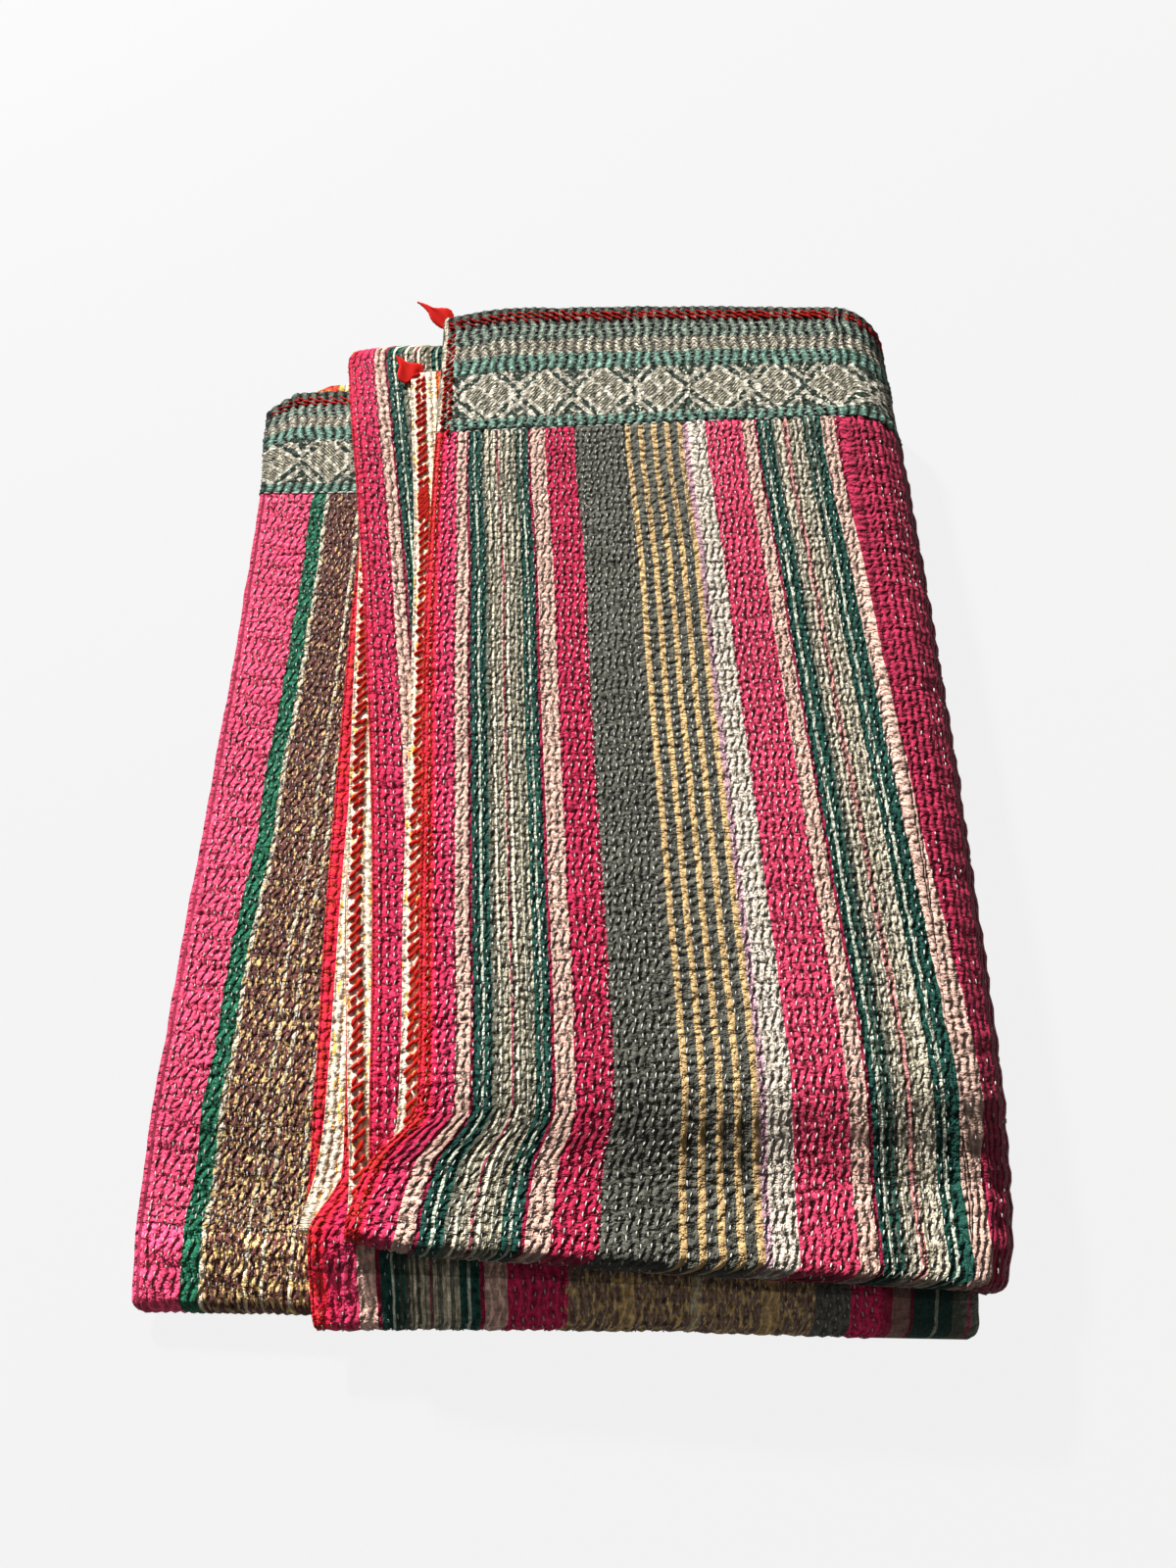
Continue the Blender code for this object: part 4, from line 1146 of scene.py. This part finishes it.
class Net:
    """Short ways to add nodes to one tree."""

    def __init__(self, tree):
        self.tree = tree

    def node(self, kind, **settings):
        made = self.tree.nodes.new(kind)
        for key, value in settings.items():
            setattr(made, key, value)
        return made

    def put(self, socket, value):
        if isinstance(value, bpy.types.NodeSocket):
            self.tree.links.new(value, socket)
        else:
            socket.default_value = value

    def math(self, operation, first, second=0.0, third=0.0, clamp=False):
        made = self.node("ShaderNodeMath", operation=operation, use_clamp=clamp)
        for socket, value in zip(made.inputs, (first, second, third)):
            self.put(socket, value)
        return made.outputs[0]

    def mix(self, share, first, second, blend="MIX"):
        made = self.node("ShaderNodeMix", data_type="RGBA", blend_type=blend)
        self.put(made.inputs[0], share)
        self.put(made.inputs[6], first)
        self.put(made.inputs[7], second)
        return made.outputs[2]

    def noise(self, vector, scale, detail=2.0, roughness=0.5):
        made = self.node("ShaderNodeTexNoise")
        self.put(made.inputs["Vector"], vector)
        made.inputs["Scale"].default_value = scale
        made.inputs["Detail"].default_value = detail
        made.inputs["Roughness"].default_value = roughness
        return made.outputs["Fac"]

    def uv(self, name):
        made = self.node("ShaderNodeUVMap", uv_map=name)
        split = self.node("ShaderNodeSeparateXYZ")
        self.tree.links.new(made.outputs[0], split.inputs[0])
        return made.outputs[0], split.outputs[0], split.outputs[1]

    def stretched(self, vector, x, y):
        made = self.node("ShaderNodeVectorMath", operation="MULTIPLY")
        self.put(made.inputs[0], vector)
        made.inputs[1].default_value = (x, y, 1.0)
        return made.outputs[0]

    def stripes(self, distance, table, reach):
        """Constant colours by distance: the table's places are in millimetres."""
        scaled = self.math("DIVIDE", distance, reach * MM, clamp=True)
        return self.steps(scaled, [(place / reach, COLOURS[colour]) for place, colour in table])

    def shaded(self, colour, shade):
        """A colour times a grey."""
        tint = self.node("ShaderNodeCombineXYZ")
        for socket in tint.inputs:
            self.put(socket, shade)
        return self.mix(1.0, colour, tint.outputs[0], "MULTIPLY")

    def ramped(self, value, begin, end, first=0.0, last=1.0, smooth=False):
        """The first number at one place, the last at another, and between them between."""
        kind = "SMOOTHSTEP" if smooth else "LINEAR"
        made = self.node("ShaderNodeMapRange", interpolation_type=kind)
        for socket, given in zip(made.inputs[:5], (value, begin, end, first, last)):
            self.put(socket, given)
        return made.outputs[0]

    def steps(self, share, stops):
        """Constant colours, each from its place on."""
        made = self.node("ShaderNodeValToRGB")
        ramp = made.color_ramp
        ramp.interpolation = "CONSTANT"
        for number, (at, colour) in enumerate(stops):
            stop = ramp.elements[number] if number < 2 else ramp.elements.new(at)
            stop.position = at
            stop.color = (*colour, 1.0)
        self.put(made.inputs[0], share)
        return made.outputs[0]

    def band(self, value, low, high):
        """1 between two limits, else 0."""
        over = self.math("GREATER_THAN", value, low)
        under = self.math("LESS_THAN", value, high)
        return self.math("MULTIPLY", over, under)


def new_material(name, roughness=0.9, specular=0.25):
    """A material with its net and its shader."""
    material = bpy.data.materials.new(name)
    material.use_nodes = True
    shader = material.node_tree.nodes["Principled BSDF"]
    shader.inputs["Roughness"].default_value = roughness
    shader.inputs["Specular IOR Level"].default_value = specular
    return material, Net(material.node_tree), shader


def pucker_group():
    """Heights between the stitches, staggered from row to row, and from them the painted shade in the
    hollows and painted highlight on the puffs.
    """
    tree = bpy.data.node_groups.new("stitch_puckers", "ShaderNodeTree")
    for name, side, kind in (("Row", "INPUT", "Float"), ("Stitch", "INPUT", "Float"),
                             ("Place", "INPUT", "Vector"), ("Height", "OUTPUT", "Float"),
                             ("Shade", "OUTPUT", "Float")):
        tree.interface.new_socket(name, in_out=side, socket_type="NodeSocket" + kind)
    net = Net(tree)
    given = net.node("NodeGroupInput")
    result = net.node("NodeGroupOutput")
    row, stitch, place = given.outputs[:3]
    slow = net.noise(net.stretched(place, 90.0, 60.0), 1.0, 1.0)
    stitch = net.math("MULTIPLY_ADD", slow, 0.9, stitch)
    stitch = net.math("MULTIPLY_ADD", row, 0.11, stitch)
    sway = net.math("SINE", net.math("MULTIPLY_ADD", stitch, math.pi, net.math("MULTIPLY", row, 2.1)))
    row = net.math("MULTIPLY_ADD", sway, 0.09, row)
    across = net.math("COSINE", net.math("MULTIPLY", row, math.pi))
    along = net.math("COSINE", net.math("MULTIPLY", stitch, 2.0 * math.pi))
    stagger = net.math("MULTIPLY", across, along)
    lumps = net.math("COSINE", net.math("MULTIPLY_ADD", stitch, 2.0 * math.pi,
                                        net.math("MULTIPLY", row, 0.7 * math.pi)))
    ridge = net.math("COSINE", net.math("MULTIPLY", row, 2.0 * math.pi))
    height = net.math("MULTIPLY_ADD", stagger, -0.20, net.math("MULTIPLY", ridge, -0.62))
    height = net.math("MULTIPLY_ADD", lumps, 0.10, height)
    coarse = net.noise(net.stretched(place, 330.0, 300.0), 1.0, 2.0, 0.62)
    fine = net.noise(net.stretched(place, 1500.0, 1500.0), 1.0, 1.0, 0.5)
    height = net.math("MULTIPLY_ADD", coarse, 3.0, net.math("SUBTRACT", height, 0.55))
    wrinkle = net.noise(net.stretched(place, 26.0, 190.0), 1.0, 2.0, 0.5)
    height = net.math("MULTIPLY_ADD", wrinkle, 1.6, net.math("SUBTRACT", height, 0.8))
    # painted shade: the lower the cloth lies between the stitches, the darker its colour is made
    hollow = net.math("MULTIPLY_ADD", height, 0.46, 0.36, clamp=True)
    tree.links.new(hollow, result.inputs[1])
    height = net.math("MULTIPLY_ADD", fine, 0.4, height)
    tree.links.new(height, result.inputs[0])
    return tree


def patched_material():
    """The striped cottons of the patched side."""
    material, net, shader = new_material("patched_cotton")
    place, u, v = net.uv("cloth")
    _, row, stitch = net.uv("rows")
    whole = 2.0 * HALF_WIDTH * MM
    ragged = net.noise(net.stretched(place, 25.0, 60.0), 1.0, 3.0, 0.6)
    ragged = net.math("MULTIPLY_ADD", ragged, 0.0022, -0.0011)
    from_edge = net.math("MINIMUM", u, net.math("SUBTRACT", whole, u))
    from_edge = net.math("ADD", from_edge, ragged)
    from_fold = net.math("ABSOLUTE", net.math("SUBTRACT", u, HALF_WIDTH * MM))
    leaning = net.ramped(v, STARTS[14] * MM, BORDER_2_START * MM, 0.0065, -0.0045)
    waver = net.noise(net.stretched(place, 2.0, 13.0), 1.0, 2.0)
    waver = net.math("MULTIPLY_ADD", waver, 0.008, -0.0045)
    from_fold = net.math("ADD", from_fold, net.math("ADD", ragged, waver))
    from_fold = net.math("ADD", leaning, from_fold)
    later = net.math("GREATER_THAN", v, SECOND_HALF * MM)
    # near the seam the stripes of the top leaf lie closer to its edge
    near_seam = net.ramped(v, (BORDER_1_END + 130.0) * MM, BORDER_1_END * MM, smooth=True)
    reach = net.math("DIVIDE", from_edge, 0.025, clamp=True)
    reach = net.math("MULTIPLY", near_seam, reach)
    moved = net.math("MULTIPLY_ADD", reach, 0.0065, from_edge)
    # and its right-hand stripes fan out towards the near end
    fanned = net.ramped(v, STARTS[2] * MM, STARTS[4] * MM, 0.0035, -0.0055)
    far_right = net.ramped(from_edge, 0.140, 0.215, smooth=True)
    moved = net.math("MULTIPLY_ADD", fanned, far_right, moved)
    widened = net.math("MULTIPLY", moved, net.math("MULTIPLY_ADD", later, -0.115, 1.0))
    edge = net.stripes(widened, EDGE_STRIPES, 100.0)
    first = net.stripes(moved, FIRST_STRIPES, 400.0)
    second = net.stripes(from_edge, SECOND_STRIPES, 400.0)
    fold = net.stripes(from_fold, FOLD_STRIPES, 200.0)
    first = net.mix(net.math("LESS_THAN", moved, 0.0900), first, edge)
    second = net.mix(net.math("LESS_THAN", from_edge, 0.0810), second, edge)
    colour = net.mix(later, first, second)
    colour = net.mix(net.math("LESS_THAN", from_fold, 0.2), colour, fold)
    # short gold and beige slubs over the brown and mauve stripes
    slubs = net.noise(net.stretched(place, 620.0, 190.0), 1.0, 2.0, 0.6)
    slubbed = net.math("MAXIMUM",
                       net.math("MULTIPLY", net.band(from_fold, 0.038, 0.112), 1.0),
                       net.math("MULTIPLY", later, net.band(from_edge, 0.105, 0.214)))
    slub_mask = net.math("MULTIPLY", slubbed, net.math(
        "GREATER_THAN", slubs, net.math("MULTIPLY_ADD", leaning, -8.0, 0.585)))
    gold = net.mix(net.noise(net.stretched(place, 180.0, 180.0), 1.0, 1.0),
                   (0.60, 0.40, 0.12, 1.0), (0.44, 0.29, 0.16, 1.0))
    colour = net.mix(slub_mask, colour, gold)
    # red thread worked over the open edge
    over = net.noise(net.stretched(place, 260.0, 130.0), 1.0, 2.0, 0.7)
    worked = net.math("MULTIPLY", net.math("GREATER_THAN", over, 0.5),
                      net.math("LESS_THAN", from_edge, 0.0058))
    second_pass = net.band(v, STARTS[5] * MM, STARTS[8] * MM)
    worked = net.math("MULTIPLY", worked, net.math("MULTIPLY_ADD", second_pass, -0.8, 1.0))
    colour = net.mix(net.math("MULTIPLY", worked, 0.75), colour, (0.58, 0.03, 0.02, 1.0))
    near_its_edge = net.math("MULTIPLY", second_pass, net.math("LESS_THAN", from_edge, 0.0175))
    colour = net.mix(net.math("MULTIPLY", near_its_edge, 0.65), colour, (0.46, 0.018, 0.066, 1.0))
    # cream and dark warp lines in the sage stripes
    in_sage = net.math("MAXIMUM", net.band(from_edge, 0.0345, 0.0538), net.math(
        "MULTIPLY", net.math("SUBTRACT", 1.0, later), net.band(from_edge, 0.2096, 0.2290)))
    warp = net.math("FRACT", net.math("DIVIDE", from_edge, 0.0026))
    dark_line = net.math("MULTIPLY", in_sage, net.math("LESS_THAN", warp, 0.42))
    colour = net.mix(net.math("MULTIPLY", dark_line, 0.8), colour, (0.075, 0.07, 0.05, 1.0))
    # uneven dye and threads, and painted light on the lower near fold
    threads = net.noise(net.stretched(place, 900.0, 240.0), 1.0, 2.0, 0.6)
    crossing = net.noise(net.stretched(place, 160.0, 800.0), 1.0, 2.0, 0.6)
    faded = net.noise(net.stretched(place, 14.0, 14.0), 1.0, 3.0, 0.6)
    shade = net.math("MULTIPLY_ADD", threads, 1.5, 0.10)
    shade = net.math("MULTIPLY_ADD", crossing, 1.1, net.math("SUBTRACT", shade, 0.45))
    shade = net.math("MULTIPLY_ADD", faded, 0.7, net.math("SUBTRACT", shade, 0.18))
    shade = net.math("MAXIMUM", shade, 0.12)
    # painted light: the lower near fold faces away from the sun, so its colour is made 1.9 times lighter
    painted_fold_light = net.band(v, (STARTS[12] + 12.0) * MM, STARTS[15] * MM)
    shade = net.math("MULTIPLY", shade, net.math("MULTIPLY_ADD", painted_fold_light, 0.9, 1.0))
    add_puckers(net, shader, row, stitch, place, 0.0016, net.shaded(colour, shade))
    return material


def add_puckers(net, shader, row, stitch, place, height, colour):
    """Bump from the shared puckers, and the colour darkened by painted shade in their hollows and
    lightened by painted highlight on their puffs.
    """
    group = net.node("ShaderNodeGroup", node_tree=bpy.data.node_groups["stitch_puckers"])
    net.put(group.inputs[0], row)
    net.put(group.inputs[1], stitch)
    net.put(group.inputs[2], place)
    bump = net.node("ShaderNodeBump")
    bump.inputs["Strength"].default_value = 1.0
    bump.inputs["Distance"].default_value = height
    net.put(bump.inputs["Height"], group.outputs[0])
    net.put(shader.inputs["Normal"], bump.outputs[0])
    # painted light and shade: colour from 0.13 times in the hollows to 1.88 times on the puffs
    shade = net.math("MULTIPLY_ADD", group.outputs[1], 1.75, 0.13)
    net.put(shader.inputs["Base Color"], net.shaded(colour, shade))


def reverse_material():
    """The printed cottons of the reverse side."""
    material, net, shader = new_material("reverse_cotton")
    place, u, _ = net.uv("cloth")
    _, row, stitch = net.uv("rows")
    whole = 2.0 * HALF_WIDTH * MM
    from_edge = net.math("MINIMUM", u, net.math("SUBTRACT", whole, u))
    blots = net.noise(net.stretched(place, 62.0, 30.0), 1.0, 2.0, 0.6)
    printed = net.steps(blots, PRINT)
    selvedge = net.math("ADD", from_edge, net.math("MULTIPLY", blots, 0.005))
    selvedge = net.math("LESS_THAN", selvedge, 0.0185)
    slubs = net.noise(net.stretched(place, 420.0, 120.0), 1.0, 2.0, 0.6)
    cream = net.mix(net.math("GREATER_THAN", slubs, 0.60),
                    (0.78, 0.66, 0.50, 1.0), (0.80, 0.46, 0.10, 1.0))
    colour = net.mix(selvedge, printed, cream)
    threads = net.noise(net.stretched(place, 800.0, 300.0), 1.0, 2.0, 0.6)
    shade = net.math("MULTIPLY_ADD", threads, 0.8, 0.6)
    add_puckers(net, shader, row, stitch, place, 0.0010, net.shaded(colour, shade))
    return material


def border_material():
    """The woven border: bands, a zigzag and a band of hatched diamonds."""
    material, net, shader = new_material("border_cotton")
    place, u, v = net.uv("cloth")
    wobble = net.noise(net.stretched(place, 130.0, 25.0), 1.0, 2.0)
    wobble = net.math("MULTIPLY_ADD", wobble, 0.005, -0.0025)
    down = net.math("ADD", v, wobble)
    colour = net.stripes(down, BORDER_STRIPES, 105.0)
    cream, dark = (0.72, 0.66, 0.50, 1.0), (0.06, 0.07, 0.05, 1.0)
    # zigzags in the cream band
    repeat = net.math("FRACT", net.math("DIVIDE", u, 0.0062))
    zigzag = net.math("MULTIPLY", net.math("ABSOLUTE", net.math("SUBTRACT", repeat, 0.5)), 0.007)
    steps = net.math("FRACT", net.math("DIVIDE", net.math("SUBTRACT", down, zigzag), 0.0032))
    cream_band = net.band(down, 0.0255, 0.0375)
    on_zigzag = net.math("MULTIPLY", net.math("LESS_THAN", steps, 0.40), cream_band)
    colour = net.mix(net.math("MULTIPLY", on_zigzag, 0.8), colour, dark)
    # a large and a small hatched diamond in turn, each with lines across
    lines, hatched, filled = 0.0, 0.0, 0.0
    across = net.math("DIVIDE", net.math("SUBTRACT", u, 0.0125), 0.0705)
    across = net.math("MULTIPLY", net.math("FRACT", across), 0.0705)
    rise = net.math("SUBTRACT", down, 0.0678)
    for middle, half_width, half_height in ((0.0185, 0.0160, 0.0172), (0.0530, 0.0138, 0.0166)):
        aside = net.math("DIVIDE", net.math("SUBTRACT", across, middle), half_width)
        above = net.math("DIVIDE", rise, half_height)
        first, second = net.math("ADD", aside, above), net.math("SUBTRACT", aside, above)
        out = net.math("MAXIMUM", net.math("ABSOLUTE", first), net.math("ABSOLUTE", second))
        inner = net.math("MINIMUM", net.math("ABSOLUTE", first), net.math("ABSOLUTE", second))
        inside = net.math("LESS_THAN", out, 1.12)
        outline = net.band(out, 0.92, 1.12)
        outer = net.math("MULTIPLY", net.band(out, 1.42, 1.66), 0.85)
        outline = net.math("MAXIMUM", outline, outer)
        cross = net.math("MULTIPLY", inside, net.math("LESS_THAN", inner, 0.07))
        lines = net.math("MAXIMUM", net.math("MAXIMUM", outline, cross), lines)
        fine = net.math("FRACT", net.math("MULTIPLY", first, 8.0 * half_width / 0.018))
        fine = net.math("MULTIPLY", inside, net.math("LESS_THAN", fine, 0.44))
        hatched = net.math("MAXIMUM", hatched, fine)
        filled = net.math("MAXIMUM", inside, filled)
    hatched = net.math("MULTIPLY", hatched, net.math("SUBTRACT", 1.0, lines))
    around = net.math("SUBTRACT", 1.0, filled)
    band = net.band(down, 0.0500, 0.0862)
    speckle = net.noise(net.stretched(place, 330.0, 260.0), 1.0, 2.0, 0.6)
    # the dark ground round the diamonds is painted shade: teal and cream cloth in shade beside the
    # raised cords, with cream flecks
    ground = net.mix(net.math("GREATER_THAN", speckle, 0.56), (0.055, 0.085, 0.065, 1.0),
                     cream)
    motif = net.mix(filled, ground, (0.66, 0.60, 0.45, 1.0))
    motif = net.mix(net.math("MULTIPLY", hatched, 0.9), motif, dark)
    motif = net.mix(lines, motif, (0.88, 0.80, 0.64, 1.0))
    colour = net.mix(band, colour, motif)
    # a cream edge beside the red stitches
    colour = net.mix(net.math("LESS_THAN", u, 0.0034), colour, (0.62, 0.55, 0.41, 1.0))
    threads = net.noise(net.stretched(place, 600.0, 700.0), 1.0, 2.0, 0.7)
    broad = net.noise(net.stretched(place, 160.0, 90.0), 1.0, 2.0, 0.6)
    shade = net.math("MULTIPLY_ADD", threads, 2.4, net.math("MULTIPLY_ADD", broad, 1.6, -1.0))
    # painted light and shade over the ribs: colour much lighter on their crests and near black in the
    # hollows between them, less so over the diamonds and the cream band
    _, rib, _ = net.uv("ribs")
    painted_rib_light = net.math("ABSOLUTE", net.math("SINE", net.math("MULTIPLY", rib, math.pi)))
    painted_rib_light = net.math("POWER", painted_rib_light, 2.2)
    painted_rib_light = net.math("MULTIPLY", painted_rib_light, net.math("MULTIPLY_ADD", speckle, 2.6, -0.35))
    shaded = net.math("MULTIPLY_ADD", painted_rib_light, 2.4, 0.08)
    over_ribs = net.math("MULTIPLY_ADD", band, -0.6, 1.0)
    over_ribs = net.math("MULTIPLY_ADD", cream_band, -0.3, over_ribs)
    shaded = net.math("MULTIPLY_ADD", net.math("SUBTRACT", shaded, 1.0), over_ribs, 1.0)
    shade = net.math("MULTIPLY", net.math("MAXIMUM", shade, 0.15), shaded)
    net.put(shader.inputs["Base Color"], net.shaded(colour, shade))
    bump = net.node("ShaderNodeBump")
    bump.inputs["Distance"].default_value = 0.0026
    fine = net.noise(net.stretched(place, 420.0, 420.0), 1.0, 3.0, 0.6)
    raised = net.math("MULTIPLY", band, net.math("SUBTRACT", lines, net.math("MULTIPLY", hatched, 0.5)))
    raised = net.math("MULTIPLY_ADD", around, 0.1, raised)
    fine = net.math("MULTIPLY", fine, 2.6)
    net.put(bump.inputs["Height"], net.math("MULTIPLY_ADD", raised, 0.8, fine))
    net.put(shader.inputs["Normal"], bump.outputs[0])
    return material


def thread_material(name, colour, vary):
    """Plain spun thread, some stitches duller than others."""
    material, net, shader = new_material(name, roughness=0.8, specular=0.08)
    where = net.node("ShaderNodeTexCoord").outputs["Object"]
    dull = net.noise(where, 420.0, 1.0)
    low = tuple(part * vary for part in colour[:3]) + (1.0,)
    net.put(shader.inputs["Base Color"], net.mix(dull, low, tuple(colour)))
    return material


# ------------------------------------------------------------ operators

class QUILT_OT_cloth(bpy.types.Operator):
    """Make the folded quilt and its two border strips"""
    bl_idname = "quilt.cloth"
    bl_label = "Quilt and borders"

    def execute(self, context):
        settings = context.scene.quilt_cloth_settings
        pucker_group()
        patched, reverse, border = patched_material(), reverse_material(), border_material()
        cloth = build_cloth("quilt_cloth", settings)
        cloth.data.materials.append(patched)
        cloth.data.materials.append(reverse)
        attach(cloth, "root")
        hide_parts("quilt")
        strips = (("border_strip_top", 0, "border_top", STRIP_LENGTHS[0]),
                  ("border_strip_low", len(LENGTHS) - 1, "border_low", STRIP_LENGTHS[1]))
        for name, length, node, wide in strips:
            strip = build_border(name, length, settings)
            strip.data.materials.append(border)
            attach(strip, "root")
            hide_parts(node)
        return {"FINISHED"}


class QUILT_OT_stitches(bpy.types.Operator):
    """Sew the running stitches and the red edge stitches"""
    bl_idname = "quilt.stitches"
    bl_label = "Stitches"

    def execute(self, context):
        settings = context.scene.quilt_cloth_settings
        white = build_running_stitches("running_stitches", settings)
        seams = build_seam_stitches("seam_stitches")
        thread = thread_material("white_thread", settings.thread_colour, 0.85)
        white.data.materials.append(thread)
        seams.data.materials.append(thread)
        red = build_red_stitches("red_stitches")
        red.data.materials.append(thread_material("red_thread", settings.edge_thread_colour, 0.6))
        for item in (white, seams, red):
            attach(item, "root")
        return {"FINISHED"}


class QUILT_OT_tabs(bpy.types.Operator):
    """Make the two red tabs at the corners"""
    bl_idname = "quilt.tabs"
    bl_label = "Corner tabs"

    def execute(self, context):
        settings = context.scene.quilt_cloth_settings
        material = thread_material("red_cotton", settings.tab_colour, 0.85)
        for name, *sizes in TABS:
            tab = build_tab(name + "_cloth", *sizes)
            tab.data.materials.append(material)
            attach(tab, "root")
            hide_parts(name)
        return {"FINISHED"}


class QUILT_OT_stage(bpy.types.Operator):
    """Lay the floor and set the light and the camera"""
    bl_idname = "quilt.stage"
    bl_label = "Stage"

    def execute(self, context):
        scene = context.scene
        settings = scene.quilt_stage_settings
        bpy.ops.object.select_all(action="DESELECT")
        bpy.ops.mesh.primitive_plane_add(size=8.0, location=(0.0, 0.0, 0.0))
        floor = context.object
        floor.name = "floor"
        material, _, shader = new_material("floor", specular=0.5)
        shader.inputs["Base Color"].default_value = settings.floor_colour
        shader.inputs["Emission Color"].default_value = (1.0, 1.0, 1.0, 1.0)
        shader.inputs["Emission Strength"].default_value = settings.floor_glow
        floor.data.materials.append(material)
        floor.visible_diffuse = False
        world = bpy.data.worlds.new("studio")
        world.use_nodes = True
        world.node_tree.nodes["Background"].inputs[0].default_value = (1.0, 1.0, 1.0, 1.0)
        world.node_tree.nodes["Background"].inputs[1].default_value = WORLD_LIGHT
        scene.world = world
        light = bpy.data.lights.new("raking_light", "SUN")
        light.energy = SUN
        light.angle = math.radians(SUN_SIZE)
        lamp = bpy.data.objects.new("raking_light", light)
        lamp.rotation_euler = (math.radians(SUN_TURN[0]), math.radians(SUN_TURN[1]), 0.0)
        scene.collection.objects.link(lamp)
        camera = bpy.data.cameras.new("camera")
        camera.lens = settings.lens
        camera.sensor_width = SENSOR
        viewer = bpy.data.objects.new("camera", camera)
        viewer.location = (-MIDDLE_X * MM, -MIDDLE_Y * MM, settings.camera_height)
        viewer.rotation_euler = (settings.camera_tilt, 0.0, 0.0)
        scene.collection.objects.link(viewer)
        scene.camera = viewer
        scene.view_settings.view_transform = "Standard"
        return {"FINISHED"}


class QUILT_PT_panel(bpy.types.Panel):
    """Lists what makes the quilt"""
    bl_idname = "QUILT_PT_panel"
    bl_label = "Folded quilt"
    bl_space_type = "VIEW_3D"
    bl_region_type = "UI"
    bl_category = "Quilt"

    def draw(self, context):
        column = self.layout.column()
        scene = context.scene
        for settings in (scene.quilt_cloth_settings, scene.quilt_stage_settings):
            for name in settings.__annotations__:
                column.prop(settings, name)
        for operator in OPERATORS:
            column.operator(operator.bl_idname)


OPERATORS = (QUILT_OT_cloth, QUILT_OT_stitches, QUILT_OT_tabs, QUILT_OT_stage)
CLASSES = (QuiltClothSettings, QuiltStageSettings, *OPERATORS, QUILT_PT_panel)


def register():
    for item in CLASSES:
        bpy.utils.register_class(item)
    bpy.types.Scene.quilt_cloth_settings = bpy.props.PointerProperty(type=QuiltClothSettings)
    bpy.types.Scene.quilt_stage_settings = bpy.props.PointerProperty(type=QuiltStageSettings)


def unregister():
    del bpy.types.Scene.quilt_stage_settings
    del bpy.types.Scene.quilt_cloth_settings
    for item in reversed(CLASSES):
        bpy.utils.unregister_class(item)


def main():
    register()
    bpy.ops.quilt.stage()
    bpy.ops.quilt.cloth()
    bpy.ops.quilt.stitches()
    bpy.ops.quilt.tabs()


if __name__ == "__main__":
    main()
